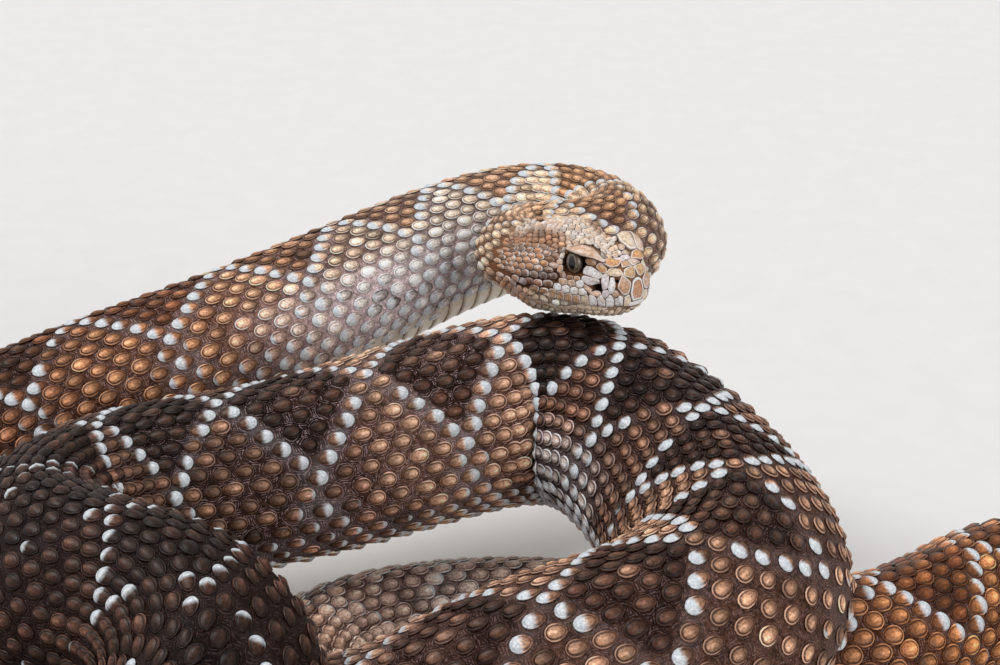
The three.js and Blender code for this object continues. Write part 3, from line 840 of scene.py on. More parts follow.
def scale_material():
    material, tree = new_material("scales")
    pigment = attribute(tree, "pigment", "Vector")
    along, across = attribute(tree, "along"), attribute(tree, "across")
    rim = 1 - (1 - across ** 2) * (1 - abs(along * 2 - 1) ** 3.4)
    white, dark, shade = (attribute(tree, key) for key in ("white", "dark", "shade"))
    fleck = noise(tree, 1500, 4)
    broad = noise(tree, 430, 2)
    # painted shade: each scale is darker at its front, under the scale before it, and towards its sides, and
    # lighter over the middle of its dome
    core = along.ramp(0.15, 0.8) * rim.ramp(0.6, 0.15)
    pale = attribute(tree, "pigment").ramp(0.25, 0.7)
    low = pale.blend(pigment.tint((0.42, 0.36, 0.34)), pigment.tint((0.66, 0.62, 0.60)))
    high = pale.blend(pigment.tint((1.6, 1.6, 1.5)), pigment.tint((1.15, 1.14, 1.12)))
    body = (core * 0.75 + shade * 0.25).blend(low, high)
    # a painted highlight along the keel, towards the rear of each scale
    keel = abs(across).ramp(0.34, 0.05) * along.ramp(0.35, 0.6) * along.ramp(0.92, 0.8) * (shade * 0.6 + 0.3)
    body = (keel * (1 - pale * 0.7)).blend(body, pigment.tint((2.9, 3.0, 3.1)))
    ring = rim.ramp(0.32, 0.54) * rim.ramp(0.80, 0.68)
    body = (ring * (0.85 - pale * 0.4)).blend(body, pigment.tint((0.17, 0.13, 0.13)))
    body = fleck.ramp(0.3, 0.7).blend(body.tint((0.62, 0.6, 0.58)), body.tint((1.34, 1.34, 1.34)))
    rear = along.ramp(0.3, 0.85)
    body = (rear * dark * 0.85).blend(body, body.tint((0.30, 0.24, 0.22)))
    edge = rim.ramp(0.66, 0.80) * along.ramp(0.25, 0.55) * (1 - dark * 0.8)
    body = (edge * (shade * 0.6 + 0.35)).blend(body, pigment.tint((2.7, 2.9, 3.2)))
    reach = 1.0 - white * 0.58 + (broad - 0.5) * 0.3 + abs(across) * 0.05
    tip = (along - reach).ramp(-0.10, 0.2) * white.ramp(0.15, 0.4)
    pearl = fleck.ramp(0.35, 0.75).blend((0.54, 0.58, 0.62, 1), (0.85, 0.88, 0.89, 1))
    colour = tip.blend(body, pearl)
    relief = fleck * 0.4 + noise(tree, 4200, 2) * 0.3 - ring * 0.9
    finish_material(tree, relief, 0.00016, 0.8, Base_Color=colour, Specular_IOR_Level=0.16,
                    Roughness=fleck.ramp(0.2, 0.8, SCALE_GLOSS - 0.07, SCALE_GLOSS + 0.13))
    return material


def body_scales():
    chance = np.random.default_rng(COAT_SEED)
    rows = range(-ROWS_EACH_SIDE, ROWS_EACH_SIDE + 1)
    columns = [np.arange(0.5 * (row % 2), column_of(BODY_LENGTH - 3), 1.0) for row in rows]
    column, row = np.concatenate(columns), np.repeat(np.array(rows, dtype=float), [len(c) for c in columns])
    s = at_column(column)
    keep = (np.abs(row) <= rows_at(s) + 0.3) & (s > 0.5)
    order = np.argsort(s[keep], kind="stable")
    column, row, s = column[keep][order], row[keep][order], s[keep][order]
    count = len(s)
    angle = row_angle(s, row) + chance.normal(0, ROUND_WANDER, count)
    s = s + chance.normal(0, ALONG_WANDER, count)
    radius = spine_at(s)[:, 3]
    pitch = at_column(column + 0.5) - at_column(column - 0.5)
    row_pitch = SIDE_OF_BACK / rows_at(s) * radius * (0.96 + 0.10 * np.minimum(np.abs(angle), 2) / 2)
    squeeze = np.clip(body_squeeze(s, angle), 0.2, 1.6)
    stations, lengths, ratios = zip(*SCALE_SIZES)
    length = np.interp(s, stations, lengths) * (radius / 28) ** 0.8
    width = np.minimum(length / np.interp(s, stations, ratios), row_pitch * 1.12)
    width = width * chance.normal(1, SIZE_WANDER, count)
    length = np.minimum(length, pitch * 1.05) * chance.normal(1, SIZE_WANDER, count)
    thick = SCALE_THICK * np.clip(radius / 29, 0.45, 1.05)
    local = np.clip(pitch * squeeze, 1.2, 20)
    tilt = np.arcsin(np.clip(SCALE_LEAN * thick / local, LEAST_LEAN, MOST_LEAN))
    rise = 0.5 * length * np.sin(tilt)
    base = SCALE_CLEAR - coat_depth(s)
    points = body_point(s, angle, base + 0.35 * rise)
    ahead = body_point(s + 1, angle, base) - body_point(s - 1, angle, base)
    round_ = body_point(s, angle + 0.03, base) - body_point(s, angle - 0.03, base)
    normal = unit(np.cross(round_, ahead))
    ahead = unit(ahead)
    side = np.cross(normal, ahead)
    lifted = ahead * np.cos(tilt)[:, None] + normal * np.sin(tilt)[:, None]
    upright = normal * np.cos(tilt)[:, None] - ahead * np.sin(tilt)[:, None]
    lifted += side * chance.normal(0, TURN_WANDER, count)[:, None]
    upright += side * chance.normal(0, LEAN_WANDER, count)[:, None]
    pigment, white, dark = markings(at_column(column), row_angle(at_column(column), row))
    white = np.clip(white + chance.normal(0, WHITE_WANDER, count) * (white > 0.1), 0, 1)
    # some scales lose their white tips, most on the left fold, where this is part of its painted shade
    white = white * (chance.random(count) > np.interp(s, *TIPS_LEFT_PLAIN))
    dark = np.clip(dark + chance.normal(0, DARK_WANDER, count), 0, 1)
    pigment = pigment * np.exp(chance.normal(TONE_MIDDLE, TONE_WANDER, (count, 1)))
    root = np.c_[s / BODY_LENGTH, angle / (2 * math.pi) + 0.5]
    values = {"pigment": pigment, "white": white, "dark": dark, "shade": chance.random(count)}
    template, material = scale_template(), scale_material()
    size = np.c_[length, width, thick]
    pieces = math.ceil(count / SCALES_PER_PIECE)
    for part, chosen in enumerate(np.array_split(np.arange(count), pieces)):
        coat_piece(f"body_scales_{part + 1}", template, material, points[chosen], lifted[chosen],
                   upright[chosen], size[chosen], root[chosen],
                   {key: value[chosen] for key, value in values.items()})
    bpy.data.objects.remove(template)


body_scales()


# Belly.  Broad plates of keratin, one to each slanting column of scales, cross the underside from flank
# to flank; each overlaps the next one behind it, and they carry the animal's weight.
SCUTE_ACROSS = np.radians(np.linspace(124, 236, 19))
SCUTE_ALONG = np.array([-0.25, 0.1, 0.45, 0.8, 1.05])
SCUTE_ROOM = np.array([-0.9, -0.72, -0.52, -0.30, -0.22])
SCUTE_THICK, SCUTE_BEVEL = 0.4, 0.4


def belly_material():
    material, tree = new_material("belly_plates")
    edge = attribute(tree, "rim")
    blotch = noise(tree, 55, 3)
    fleck = noise(tree, 700, 4)
    cream = fleck.ramp(0.3, 0.7).blend((0.65, 0.53, 0.40, 1), (0.81, 0.72, 0.57, 1))
    colour = (blotch.ramp(0.52, 0.68) * 0.55).blend(cream, (0.28, 0.18, 0.13, 1))
    colour = (edge * 0.4).blend(colour, (0.88, 0.84, 0.74, 1))
    finish_material(tree, fleck, 0.00015, 0.5, Base_Color=colour, Roughness=fleck.ramp(0.2, 0.8, 0.3, 0.42))
    return material


def bake_map(piece, places):
    """The flat map that the piece's finish is baked on, with a place for every point."""
    corners = np.empty(len(piece.data.loops), dtype=np.int32)
    piece.data.loops.foreach_get("vertex_index", corners)
    layer = piece.data.uv_layers.new(name="OFBake")
    layer.data.foreach_set("uv", places[corners].astype(np.float32).ravel())


def belly_plates():
    last = column_of(BODY_LENGTH)
    starts = at_column(np.arange(0.5, last - 0.6, 1.0))
    pitch = at_column(np.arange(1.5, last + 0.4, 1.0)) - starts
    s = starts[:, None, None] + pitch[:, None, None] * SCUTE_ALONG[None, :, None]
    s = np.clip(s, 0, BODY_LENGTH)
    angle = np.broadcast_to(SCUTE_ACROSS, (len(starts), len(SCUTE_ALONG), len(SCUTE_ACROSS)))
    s = np.broadcast_to(s, angle.shape)
    room = np.broadcast_to(SCUTE_ROOM[None, :, None], angle.shape)
    bevel = SCUTE_BEVEL * np.abs(np.linspace(-1, 1, len(SCUTE_ACROSS))) ** 6
    outer = body_point(s, angle, room - bevel, 0.02 - 0.35 * room)
    inner = body_point(s, angle, room - bevel - SCUTE_THICK, 0.12 - 0.35 * room + SCUTE_THICK * 0.5)
    rows, columns = len(SCUTE_ALONG), len(SCUTE_ACROSS)
    each = rows * columns
    points, faces = [], []
    border = border_of(rows, columns)
    for k in range(len(starts)):
        first = 2 * each * k
        points += [outer[k].reshape(-1, 3), inner[k].reshape(-1, 3)]
        faces += grid_faces(rows, columns, first, closed=False)
        faces += [tuple(reversed(face)) for face in grid_faces(rows, columns, first + each, closed=False)]
        for a, b in zip(border, border[1:] + border[:1]):
            faces.append((first + b, first + a, first + each + a, first + each + b))
    piece = mesh_piece("belly_plates", np.vstack(points), faces, belly_material())
    keep_values(piece, rim=np.tile((SCUTE_ALONG > 0.7).repeat(columns), 2 * len(starts)))
    spread = np.stack([s / BODY_LENGTH, angle / (2 * math.pi)], -1).reshape(len(starts), 1, -1, 2)
    bake_map(piece, np.broadcast_to(spread, (len(starts), 2, each, 2)).reshape(-1, 2))
    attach(piece, "root")


belly_plates()


# Eyes.  Low, glossy domes under a clear scale, olive-grey with an upright pupil, set deep below the brow.
EYE_RINGS = 28
EYE_BULGE = 1.8
EYE_NARROW = 0.8
EYE_LOOK, EYE_HIGH = np.array([0.26, 1.0, 0.14]), np.array([-0.12, 0, 1.0])
PUPIL = (0.46, 0.66)


def eye_material():
    material, tree = new_material("eye")
    across, height = attribute(tree, "across"), attribute(tree, "height")
    radius = (across * across + height * height) ** 0.5
    fleck = noise(tree, 1800, 5)
    iris = fleck.ramp(0.3, 0.7).blend((0.085, 0.063, 0.042, 1), (0.27, 0.21, 0.15, 1))
    iris = radius.ramp(0.45, 0.75).blend(iris, iris.tint((0.5, 0.46, 0.42)))
    iris = radius.ramp(0.80, 0.86).blend(iris, iris.tint((1.45, 1.3, 1.15)))
    slit = (across / PUPIL[0]) ** 2 + (abs(height) / PUPIL[1]) ** 1.5
    colour = slit.ramp(0.86, 1.1).blend((0.004, 0.004, 0.005, 1), iris)
    colour = radius.ramp(0.87, 0.93).blend(colour, (0.040, 0.024, 0.017, 1))
    finish_material(tree, Base_Color=colour, Roughness=0.25, Specular_IOR_Level=0.3, Coat_Weight=0.45,
                    Coat_Roughness=0.02)
    return material


def build_eye(name, sign):
    look = unit(EYE_LOOK * [1, sign, 1])
    high = unit(EYE_HIGH - look * np.dot(EYE_HIGH, look))
    fore = np.cross(high, look)
    rings = np.linspace(0, math.pi, EYE_RINGS + 1)[1:-1]
    turns = np.arange(EYE_RINGS * 2) * math.pi / EYE_RINGS
    away, turn = np.meshgrid(rings, turns, indexing="ij")
    local = np.stack([np.sin(away) * np.cos(turn), np.sin(away) * np.sin(turn), np.cos(away)], -1)
    local = np.vstack([local.reshape(-1, 3), [[0, 0, 1], [0, 0, -1]]])
    axes = np.stack([fore * EYE_RADIUS * EYE_NARROW, high * EYE_RADIUS, look * EYE_BULGE])
    points = to_world(EYE * [1, sign, 1] + local @ axes)
    ring = EYE_RINGS * 2
    faces = grid_faces(len(rings), ring)
    last = len(rings) * ring
    faces += [(last, (k + 1) % ring, k) for k in range(ring)]
    faces += [(last + 1, last - ring + k, last - ring + (k + 1) % ring) for k in range(ring)]
    piece = mesh_piece(name, points, [tuple(reversed(face)) for face in faces], EYE_FINISH)
    keep_values(piece, across=local[:, 0], height=local[:, 1])
    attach(piece, "root")
    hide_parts(name)


EYE_FINISH = eye_material()
for side_name, side_sign in (("eye_right", -1), ("eye_left", 1)):
    build_eye(side_name, side_sign)


# Scales of the head.  Close-set shields of keratin that share their edges: larger plates on lips, nose
# and brows, bumpy little ones on the crown, long keeled rows on the temples, smooth ones under the chin.
# colours, each with how white its edge is
CREAM, TAN, RUST = (0.77, 0.64, 0.48, 0.5), (0.60, 0.37, 0.23, 0.7), (0.68, 0.38, 0.18, 0.7)
PINK, UMBER, GOLD = (0.70, 0.50, 0.37, 0.4), (0.31, 0.16, 0.085, 0.3), (0.66, 0.44, 0.24, 0.7)
WHITE, LILAC = (0.92, 0.93, 0.96, 0.3), (0.82, 0.76, 0.80, 0.5)
# name: place, direction of its length, half length, half width, height, flare over the eye, colour
HEAD_PLATES = {
    "brow": ((33.3, 9.9, 10.4), (9.0, -3.8, -3.0), 6.4, 1.9, 1.9, 1.2, PINK),
    "preocular": ((36.5, 10.1, 4.5), (1, -0.45, -0.3), 2.5, 1.3, 0.5, 0, (0.89, 0.88, 0.90, 0.3)),
    "preocular_low": ((36.0, 10.7, 2.1), (1, -0.45, -0.2), 2.2, 1.1, 0.45, 0, (0.85, 0.83, 0.85, 0.4)),
    "canthal": ((40.0, 5.0, 7.0), (2, -5.5, 0.3), 3.3, 1.6, 1.1, 0.3, RUST),
    "canthal_low": ((41.6, 6.2, 4.6), (1.6, -3.0, -1), 2.4, 1.3, 0.75, 0, CREAM),
    "brow_front": ((38.9, 8.6, 5.9), (1, -0.6, -0.6), 1.6, 1.2, 0.9, 0, RUST),
    "internasal": ((43.7, 2.3, 4.3), (0.2, 1, -0.3), 2.4, 1.8, 0.9, 0, GOLD),
    "muzzle_top": ((41.9, 1.9, 6.5), (1, 0.5, 0), 1.8, 1.9, 0.8, 0, TAN),
    "muzzle_mid": ((39.6, 1.5, 7.9), (1, 0, 0), 1.3, 1.3, 0.55, 0, LILAC),
    "nasal": ((43.9, 5.0, 0.9), (0.3, -1, 0), 2.5, 2.9, 0.7, 0, TAN),
    "postnasal": ((41.8, 7.5, 1.3), (0.3, 0, 1), 2.4, 1.1, 0.7, 0, WHITE),
    "loreal": ((40.0, 8.7, 2.4), (0.1, 0, 1), 2.5, 1.0, 0.55, 0, LILAC),
    "pit_front": ((40.1, 8.8, -1.6), (0.4, 0, 1), 1.2, 0.9, 0.55, 0, LILAC),
    "subnasal": ((42.6, 6.8, -1.5), (0.5, 0, 1), 1.1, 1.1, 0.6, 0, PINK),
    "pit_under": ((37.4, 10.1, -1.7), (1, -0.4, -0.1), 1.5, 0.65, 0.6, 0, PINK),
    "pit_rear": ((35.0, 10.9, -0.3), (1, -0.4, -0.8), 1.3, 0.6, 0.6, 0, PINK),
    "lip_0": ((44.0, 3.9, -3.9), (0.5, -1, 0), 1.2, 1.5, 0.6, 0, CREAM),
    "lip_1": ((43.1, 6.2, -3.5), (1, -1, 0), 1.35, 1.8, 0.6, 0, WHITE),
    "lip_2": ((40.8, 8.0, -3.8), (1, -0.7, 0), 1.15, 1.8, 0.6, 0, WHITE),
    "lip_3": ((38.7, 9.3, -3.9), (1, -0.5, 0), 1.1, 1.8, 0.6, 0, WHITE),
    "lip_4": ((36.4, 10.3, -3.9), (1, -0.45, 0), 1.15, 1.6, 0.6, 0, WHITE),
    "lip_5": ((34.0, 11.2, -3.8), (1, -0.4, 0), 1.2, 1.5, 0.6, 0, CREAM),
    "lip_6": ((31.6, 12.0, -3.7), (1, -0.35, 0), 1.2, 1.4, 0.55, 0, TAN),
    "lip_7": ((29.2, 12.8, -3.4), (1, -0.3, 0), 1.2, 1.4, 0.55, 0, TAN),
    "lip_8": ((26.8, 13.5, -3.0), (1, -0.3, 0), 1.2, 1.3, 0.5, 0, TAN),
    "lip_9": ((24.4, 14.3, -2.6), (1, -0.2, 0), 1.2, 1.2, 0.5, 0, TAN),
    "bead_1": ((33.6, 11.6, -1.3), (1, 0, 0), 1.15, 1.0, 0.8, 0, WHITE),
    "bead_2": ((31.3, 12.5, -1.2), (1, 0, 0), 1.2, 1.05, 0.8, 0, WHITE),
    "bead_3": ((28.8, 13.4, -0.9), (1, 0, 0), 1.25, 1.1, 0.8, 0, WHITE),
    "bead_4": ((26.3, 14.1, -0.5), (1, 0, 0), 1.15, 0.95, 0.7, 0, WHITE),
    "bead_5": ((33.0, 11.8, 1.0), (1, 0, 0), 1.15, 1.05, 0.8, 0, WHITE),
    "bead_6": ((30.5, 12.9, 1.2), (1, 0, 0), 1.05, 1.0, 0.75, 0, PINK),
    "bead_7": ((28.1, 13.7, 1.3), (1, 0, 0), 1.1, 0.9, 0.7, 0, TAN),
    "ocular_1": ((26.6, 12.7, 8.9), (0.3, 0, 1), 0.9, 0.75, 0.7, 0, CREAM),
    "ocular_2": ((26.4, 13.3, 7.0), (0, 0, 1), 0.95, 0.8, 0.7, 0, PINK),
    "ocular_3": ((26.9, 13.6, 5.0), (0, 0, 1), 0.95, 0.75, 0.65, 0, TAN),
    "ocular_4": ((28.0, 13.6, 3.2), (0.6, 0, -1), 0.85, 0.7, 0.6, 0, UMBER),
    "ocular_5": ((30.2, 13.0, 2.5), (1, 0, 0), 0.9, 0.6, 0.6, 0, UMBER),
    "ocular_6": ((32.2, 12.3, 2.5), (1, 0, 0), 0.8, 0.6, 0.6, 0, TAN)}
# plates on the middle line: the rostral scale, the edge of the lip below it, and the mental scale
MIDDLE_PLATES = {
    "rostral": ((44.3, 0.0, -1.4), (0, 1, 0), 2.4, 3.0, 0.9, 0, (0.57, 0.31, 0.18, 2.6)),
    "rostral_edge": ((43.8, 0.0, -5.4), (0, 1, 0), 2.9, 0.75, 0.6, 0, WHITE),
    "mental": ((43.0, 0.0, -7.2), (0, 1, 0), 1.7, 1.1, 0.5, 0, CREAM)}
# openings that keep their room between the plates: eye, pit, nostril and the groove above the brow
OPENINGS = {
    "groove": ((33.8, 7.4, 11.3), (9.0, -3.8, -3.0), 4.6, 0.4, (-1,)),
    "eye": (EYE, (0, 0, 1), 3.0, 2.6, (-1, 1)), "pit": (PIT, (1, -0.4, 0), 1.1, 0.8, (-1, 1)),
    "nostril": (NOSTRIL, (1, -0.8, 0), 0.8, 0.8, (-1, 1))}
# the swollen lobe of the far brow, which only that side has
FAR_BROW = ((34.0, 6.7, 11.0), (1, -0.25, -0.35), 4.2, 3.0, 1.2, 0, CREAM)
PLATE_RISE = 0.72
PLATE_SEAM, LEAST_REACH, NEIGHBOURS = 0.035, 0.12, 24
LOWER_LIP_STEP, LOWER_LIP_DROP = 2.35, 1.35
LOWER_LIP_PLATES, LOWER_LIP_PALE, LOWER_LIP_START = 14, 9, 41.4
# rows of small scales round the head, and their spacing by degrees from the middle of the crown
HEAD_ROWS = 54
CROWN_STEP = 1.85
SMALL_STEPS = ((21, CROWN_STEP), (46, 2.5), (100, 3.1), (181, 2.5))
EYE_CLEAR, PIT_CLEAR, MOUTH_CLEAR = 4.0, 1.7, 0.7
PLATE_CLEAR_LONG, PLATE_CLEAR_WIDE = 0.75, 0.55
SHIELD_KEEL_WIDTH, FOLDS_FOLLOWED = 0.28, 0.9
# rings of a shield, from its foot to its crown: share of its reach, share of its height
PLATE_RINGS = [(0.98, -0.3), (1.0, 0.3), (0.97, 0.62), (0.89, 0.84), (0.7, 0.94), (0.35, 0.98)]
SMALL_RINGS = [(0.98, -0.4), (1.0, 0.1), (0.88, 0.55), (0.55, 0.88)]


def lower_lip():
    chance = np.random.default_rng(COAT_SEED + 3)
    plates = []
    for k in range(LOWER_LIP_PLATES):
        x = LOWER_LIP_START - k * LOWER_LIP_STEP
        mouth = float(mouth_at(x))
        tone = np.array(CREAM if k < LOWER_LIP_PALE else TAN) * chance.uniform(0.8, 1.1)
        plates.append(((x, 11.0, mouth - LOWER_LIP_DROP), (1, -0.3, 0), 1.15, 0.95, 0.5, 0, tuple(tone)))
    return plates


def small_scales(taken):
    """Places of the small scales in the head's frame: rows on crown, temples, cheeks and chin."""
    chance = np.random.default_rng(COAT_SEED + 1)
    places, sizes, kinds = [], [], []

    def add_row(x, angle, tilt, step):
        places.append(head_form(x, angle))
        kinds.append(np.full(len(x), tilt))
        sizes.append(np.full(len(x), step))

    for row in range(HEAD_ROWS):
        angle = (row + 0.5 - HEAD_ROWS / 2) * 2 * math.pi / HEAD_ROWS
        tilt = abs(math.degrees(angle))
        step = next(step for limit, step in SMALL_STEPS if tilt < limit)
        x = np.arange(43.4 - (row % 2) * step / 2, 0.6, -step)
        x = x + chance.normal(0, 0.12, len(x))
        add_row(x, np.full(len(x), angle) + chance.normal(0, 0.012, len(x)), tilt, step)
    # the middle row of the crown
    x = np.arange(40.6, 1.5, -CROWN_STEP)
    add_row(x, chance.normal(0, 0.01, len(x)), 0.0, CROWN_STEP)
    places, kinds, sizes = np.vstack(places), np.concatenate(kinds), np.concatenate(sizes)
    near_side = np.c_[places[:, 0], np.abs(places[:, 1]), places[:, 2]]
    free = np.abs(places[:, 2] - mouth_at(places[:, 0])) > MOUTH_CLEAR
    for opening, clear in ((EYE, EYE_CLEAR), (PIT, PIT_CLEAR)):
        free &= np.linalg.norm(near_side - opening, axis=1) > clear
    for centre, along, half_length, half_width in taken:
        gap = places - centre
        along = unit(np.asarray(along, dtype=float))
        reach = gap @ along
        across = np.linalg.norm(gap - reach[:, None] * along, axis=1)
        free &= ((reach / (half_length + PLATE_CLEAR_LONG)) ** 2
                 + (across / (half_width + PLATE_CLEAR_WIDE)) ** 2) > 1
    return places[free], kinds[free], sizes[free]


def on_nape(form, out, lift):
    """World points lifted off the head's form, which gives way to the neck's across the nape."""
    own = smooth(form[:, 0], 0, NAPE)[:, None]
    neck = body_point(np.zeros(len(form)), angle_on(form), lift - 0.2 * (1 - own[:, 0]))
    neck = neck - body_frame(np.zeros(1))[2][0] * form[:, :1]
    return neck * (1 - own) + to_world(form + out * lift[:, None]) * own


def grown(centre, ahead, across, half, reach, c, s):
    """How far each shield grows each way, in its half sizes: to its reach or to a neighbour's edge."""
    radius = (np.abs(c) ** 3 + np.abs(s) ** 3) ** (-1 / 3) * reach[:, None]
    gaps = centre[None] - centre[:, None]
    for other in np.argsort(np.sum(gaps ** 2, -1), axis=1)[:, 1:NEIGHBOURS + 1].T:
        away = centre[other] - centre
        ax, ay = np.sum(away * ahead, -1), np.sum(away * across, -1)
        length = np.maximum(np.hypot(ax, ay), 1e-6)
        ux, uy = ax / length / half[:, 0], ay / length / half[:, 1]
        own = 1 / np.sqrt(ux ** 2 + uy ** 2)
        back = -unit(away)
        bx, by = np.sum(back * ahead[other], -1), np.sum(back * across[other], -1)
        theirs = 1 / np.sqrt((bx / half[other, 0]) ** 2 + (by / half[other, 1]) ** 2 + 1e-9)
        wall = np.linalg.norm(away, axis=1) / (own + theirs) - PLATE_SEAM / own
        facing = (ux * own)[:, None] * c + (uy * own)[:, None] * s
        radius = np.minimum(radius, np.where(facing > 0.05, wall[:, None] / np.maximum(facing, 0.05), 1e3))
    return np.maximum(radius, LEAST_REACH)


def mosaic(name, centre, along, half, height, flare, keel, tone, edge, reach, chosen, sides, rings):
    """Domed shields on the head that grow to their reach or to edges shared with their neighbours."""
    centre, normal = on_head(centre)
    ahead = unit(along - normal * np.sum(along * normal, -1, keepdims=True))
    across = np.cross(normal, ahead)
    turns = np.arange(sides) * 2 * math.pi / sides
    c, s = np.cos(turns), np.sin(turns)
    radius = grown(centre, ahead, across, half, reach, c, s)
    keep = np.asarray(chosen)
    centre, ahead, across, half, height, flare, keel, tone, edge, radius = (
        values[keep] for values in (centre, ahead, across, half, height, flare, keel, tone, edge, radius))
    ring_radius, ring_height = np.array(rings).T
    last = len(rings) * sides

    def topped(values, top):
        """The values of the rings, and after them the top's, shield by shield."""
        return np.concatenate([values.reshape(len(keep), last, -1), top.reshape(len(keep), 1, -1)], 1)

    edges = radius[..., None] * np.stack([c, s], -1) * half[:, None]
    local = ring_radius[:, None, None] * edges[:, None]
    flat, out = on_head(centre[:, None, None] + local[..., :1] * ahead[:, None, None]
                        + local[..., 1:] * across[:, None, None])
    sideways, breadth = local[..., 1], half[:, 1, None, None]
    ridge = keel[:, None, None] * np.exp(-(sideways / (SHIELD_KEEL_WIDTH * breadth)) ** 2)
    ridge = ridge * np.clip(ring_height[:, None] * 1.4 - 0.3, 0, 1)
    lean = np.clip(-across[:, 2, None, None] * sideways / breadth + 0.1, 0, 1.2) * flare[:, None, None]
    lift = -HEAD_COAT + ring_height[:, None] * height[:, None, None] + ridge
    lift = lift + lean * np.clip(ring_height[:, None] + 0.5, 0, 1)
    tops, top_out = on_head(centre)
    flat, out = topped(flat, tops).reshape(-1, 3), topped(out, top_out).reshape(-1, 3)
    lift = topped(lift, height + keel - HEAD_COAT).ravel()
    points = on_nape(flat, out, lift - FOLDS_FOLLOWED * folds(flat))
    pattern = grid_faces(len(rings), sides)
    pattern += [(last - sides + k, last - sides + (k + 1) % sides, last) for k in range(sides)]
    pattern.append(tuple(reversed(range(sides))))
    each = last + 1
    faces = [tuple(each * shield + k for k in face) for shield in range(len(keep)) for face in pattern]
    piece = mesh_piece(name, points, faces, HEAD_FINISH)
    keep_values(piece, rim=np.tile(np.r_[np.repeat(ring_radius, sides), 0.0], len(keep)),
                pigment=np.repeat(tone, each, axis=0), edge=np.repeat(edge, each))
    around_head = np.arctan2(centre[:, 1], centre[:, 2]) / (2 * math.pi) + 0.5
    unwrapped = np.c_[np.clip(centre[:, 0] / 46, 0, 1), around_head]
    spots = topped(local, np.zeros((len(keep), 2)))
    spots = spots / np.max(np.abs(spots), axis=(1, 2), keepdims=True) * PATCH_WIDTH / 2
    bake_map(piece, (unwrapped[:, None] + spots).reshape(-1, 2))
    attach(piece, "root")


def head_material():
    material, tree = new_material("head_scales")
    pigment = attribute(tree, "pigment", "Vector")
    rim, edge = attribute(tree, "rim"), attribute(tree, "edge")
    fleck = noise(tree, 1400, 5)
    speck = noise(tree, 3000, 2)
    body = fleck.ramp(0.3, 0.7).blend(pigment.tint((0.66, 0.60, 0.56)), pigment.tint((1.28, 1.26, 1.24)))
    body = (speck.ramp(0.60, 0.74) * 0.5).blend(body, pigment.tint((0.32, 0.22, 0.17)))
    body = (noise(tree, 330, 3).ramp(0.54, 0.64) * 0.38).blend(body, (0.89, 0.87, 0.86, 1))
    body = (noise(tree, 260, 2).ramp(0.56, 0.68) * 0.5).blend(body, pigment.tint((0.78, 0.56, 0.38)))
    ring = rim.ramp(0.4, 0.72) * rim.ramp(0.96, 0.8)
    body = (ring * 0.35).blend(body, pigment.tint((0.62, 0.52, 0.46)))
    body = (rim.ramp(0.72, 0.88) * edge).blend(body, (0.90, 0.87, 0.84, 1))
    body = rim.ramp(0.93, 0.94, 0.000, 0.8).blend(body, (0.14, 0.071, 0.043, 1))
    finish_material(tree, fleck + speck * 0.4, 0.0001, 0.7, Base_Color=body,
                    Roughness=fleck.ramp(0.2, 0.8, 0.38, 0.55))
    return material


def mirrored(plate, sign):
    """The plate on the side that sign names."""
    place, along, *rest = plate
    return (np.array(place) * [1, sign, 1], np.array(along) * [1, sign, 1], *rest)


def head_coat():
    chance = np.random.default_rng(COAT_SEED + 2)
    plates = [mirrored(plate, sign) for sign in (-1, 1) for plate in [*HEAD_PLATES.values(), *lower_lip()]]
    plates += [mirrored(plate, 1) for plate in [FAR_BROW, *MIDDLE_PLATES.values()]]
    made = len(plates)
    plates += [mirrored((place, along, length, width, 0, 0, PINK), sign)
               for place, along, length, width, signs in OPENINGS.values() for sign in signs]
    centre, along, length, width, height, flare, finish = (
        np.array(column, dtype=float) for column in zip(*plates))
    centre = on_head(centre)[0]
    taken = list(zip(centre, along, length, width))
    places, kinds, steps = small_scales(taken)
    count, small = len(plates), len(places)
    polar = np.arctan2(places[:, 1], places[:, 2])
    crown = smooth(kinds, 30, 18)
    nape = smooth(kinds, 18, 26) * smooth(kinds, 50, 44) * smooth(places[:, 0], 29, 25)
    nape = np.maximum(nape, smooth(places[:, 0], 8, 3))
    temple = smooth(kinds, 44, 50) * smooth(kinds, 104, 92) * smooth(places[:, 0], 34, 30)
    girth = np.linalg.norm(places[:, 1:], axis=1) * 2 * math.pi / HEAD_ROWS
    small_half = np.c_[steps * 0.52, girth * (0.72 - 0.2 * temple)]
    small_tone = head_colour(places[:, 0], polar) * np.exp(chance.normal(-0.06, 0.28, (small, 1)))
    pale = (crown * 0.7 + 0.12) * chance.random(small) ** 1.5
    small_tone = small_tone * (1 - pale[:, None]) + np.array([0.89, 0.87, 0.84]) * pale[:, None]
    small_edge = 0.15 + 0.6 * temple + 0.3 * crown - 0.1 * nape
    small_edge = np.clip(small_edge * chance.uniform(0.4, 1.5, small), 0, 0.9)
    small_edge *= np.clip(small_tone.mean(axis=1) * 4, 0.3, 1)
    small_height = (0.55 + 0.4 * crown + 0.3 * temple + 0.25 * nape) * chance.normal(1, 0.14, small)
    centre = np.vstack([centre, places])
    along = np.vstack([along, np.tile([-1.0, 0, 0], (small, 1))])
    half = np.vstack([np.c_[length, width], small_half])
    height = np.r_[height * PLATE_RISE, small_height]
    flare = np.r_[flare, np.zeros(small)]
    keel = np.r_[np.zeros(count), 0.16 * temple + 0.22 * nape + 0.06 * crown]
    tone, edge = np.vstack([finish[:, :3], small_tone]), np.r_[finish[:, 3], small_edge]
    reach = np.r_[np.full(count, 1.3), 1.1 + 0.12 * crown]
    shape = (centre, along, half, height, flare, keel, tone, edge, reach)
    mosaic("head_plates", *shape, range(made), 28, PLATE_RINGS)
    mosaic("head_scales", *shape, range(count, count + small), 12, SMALL_RINGS)


HEAD_FINISH = head_material()
head_coat()


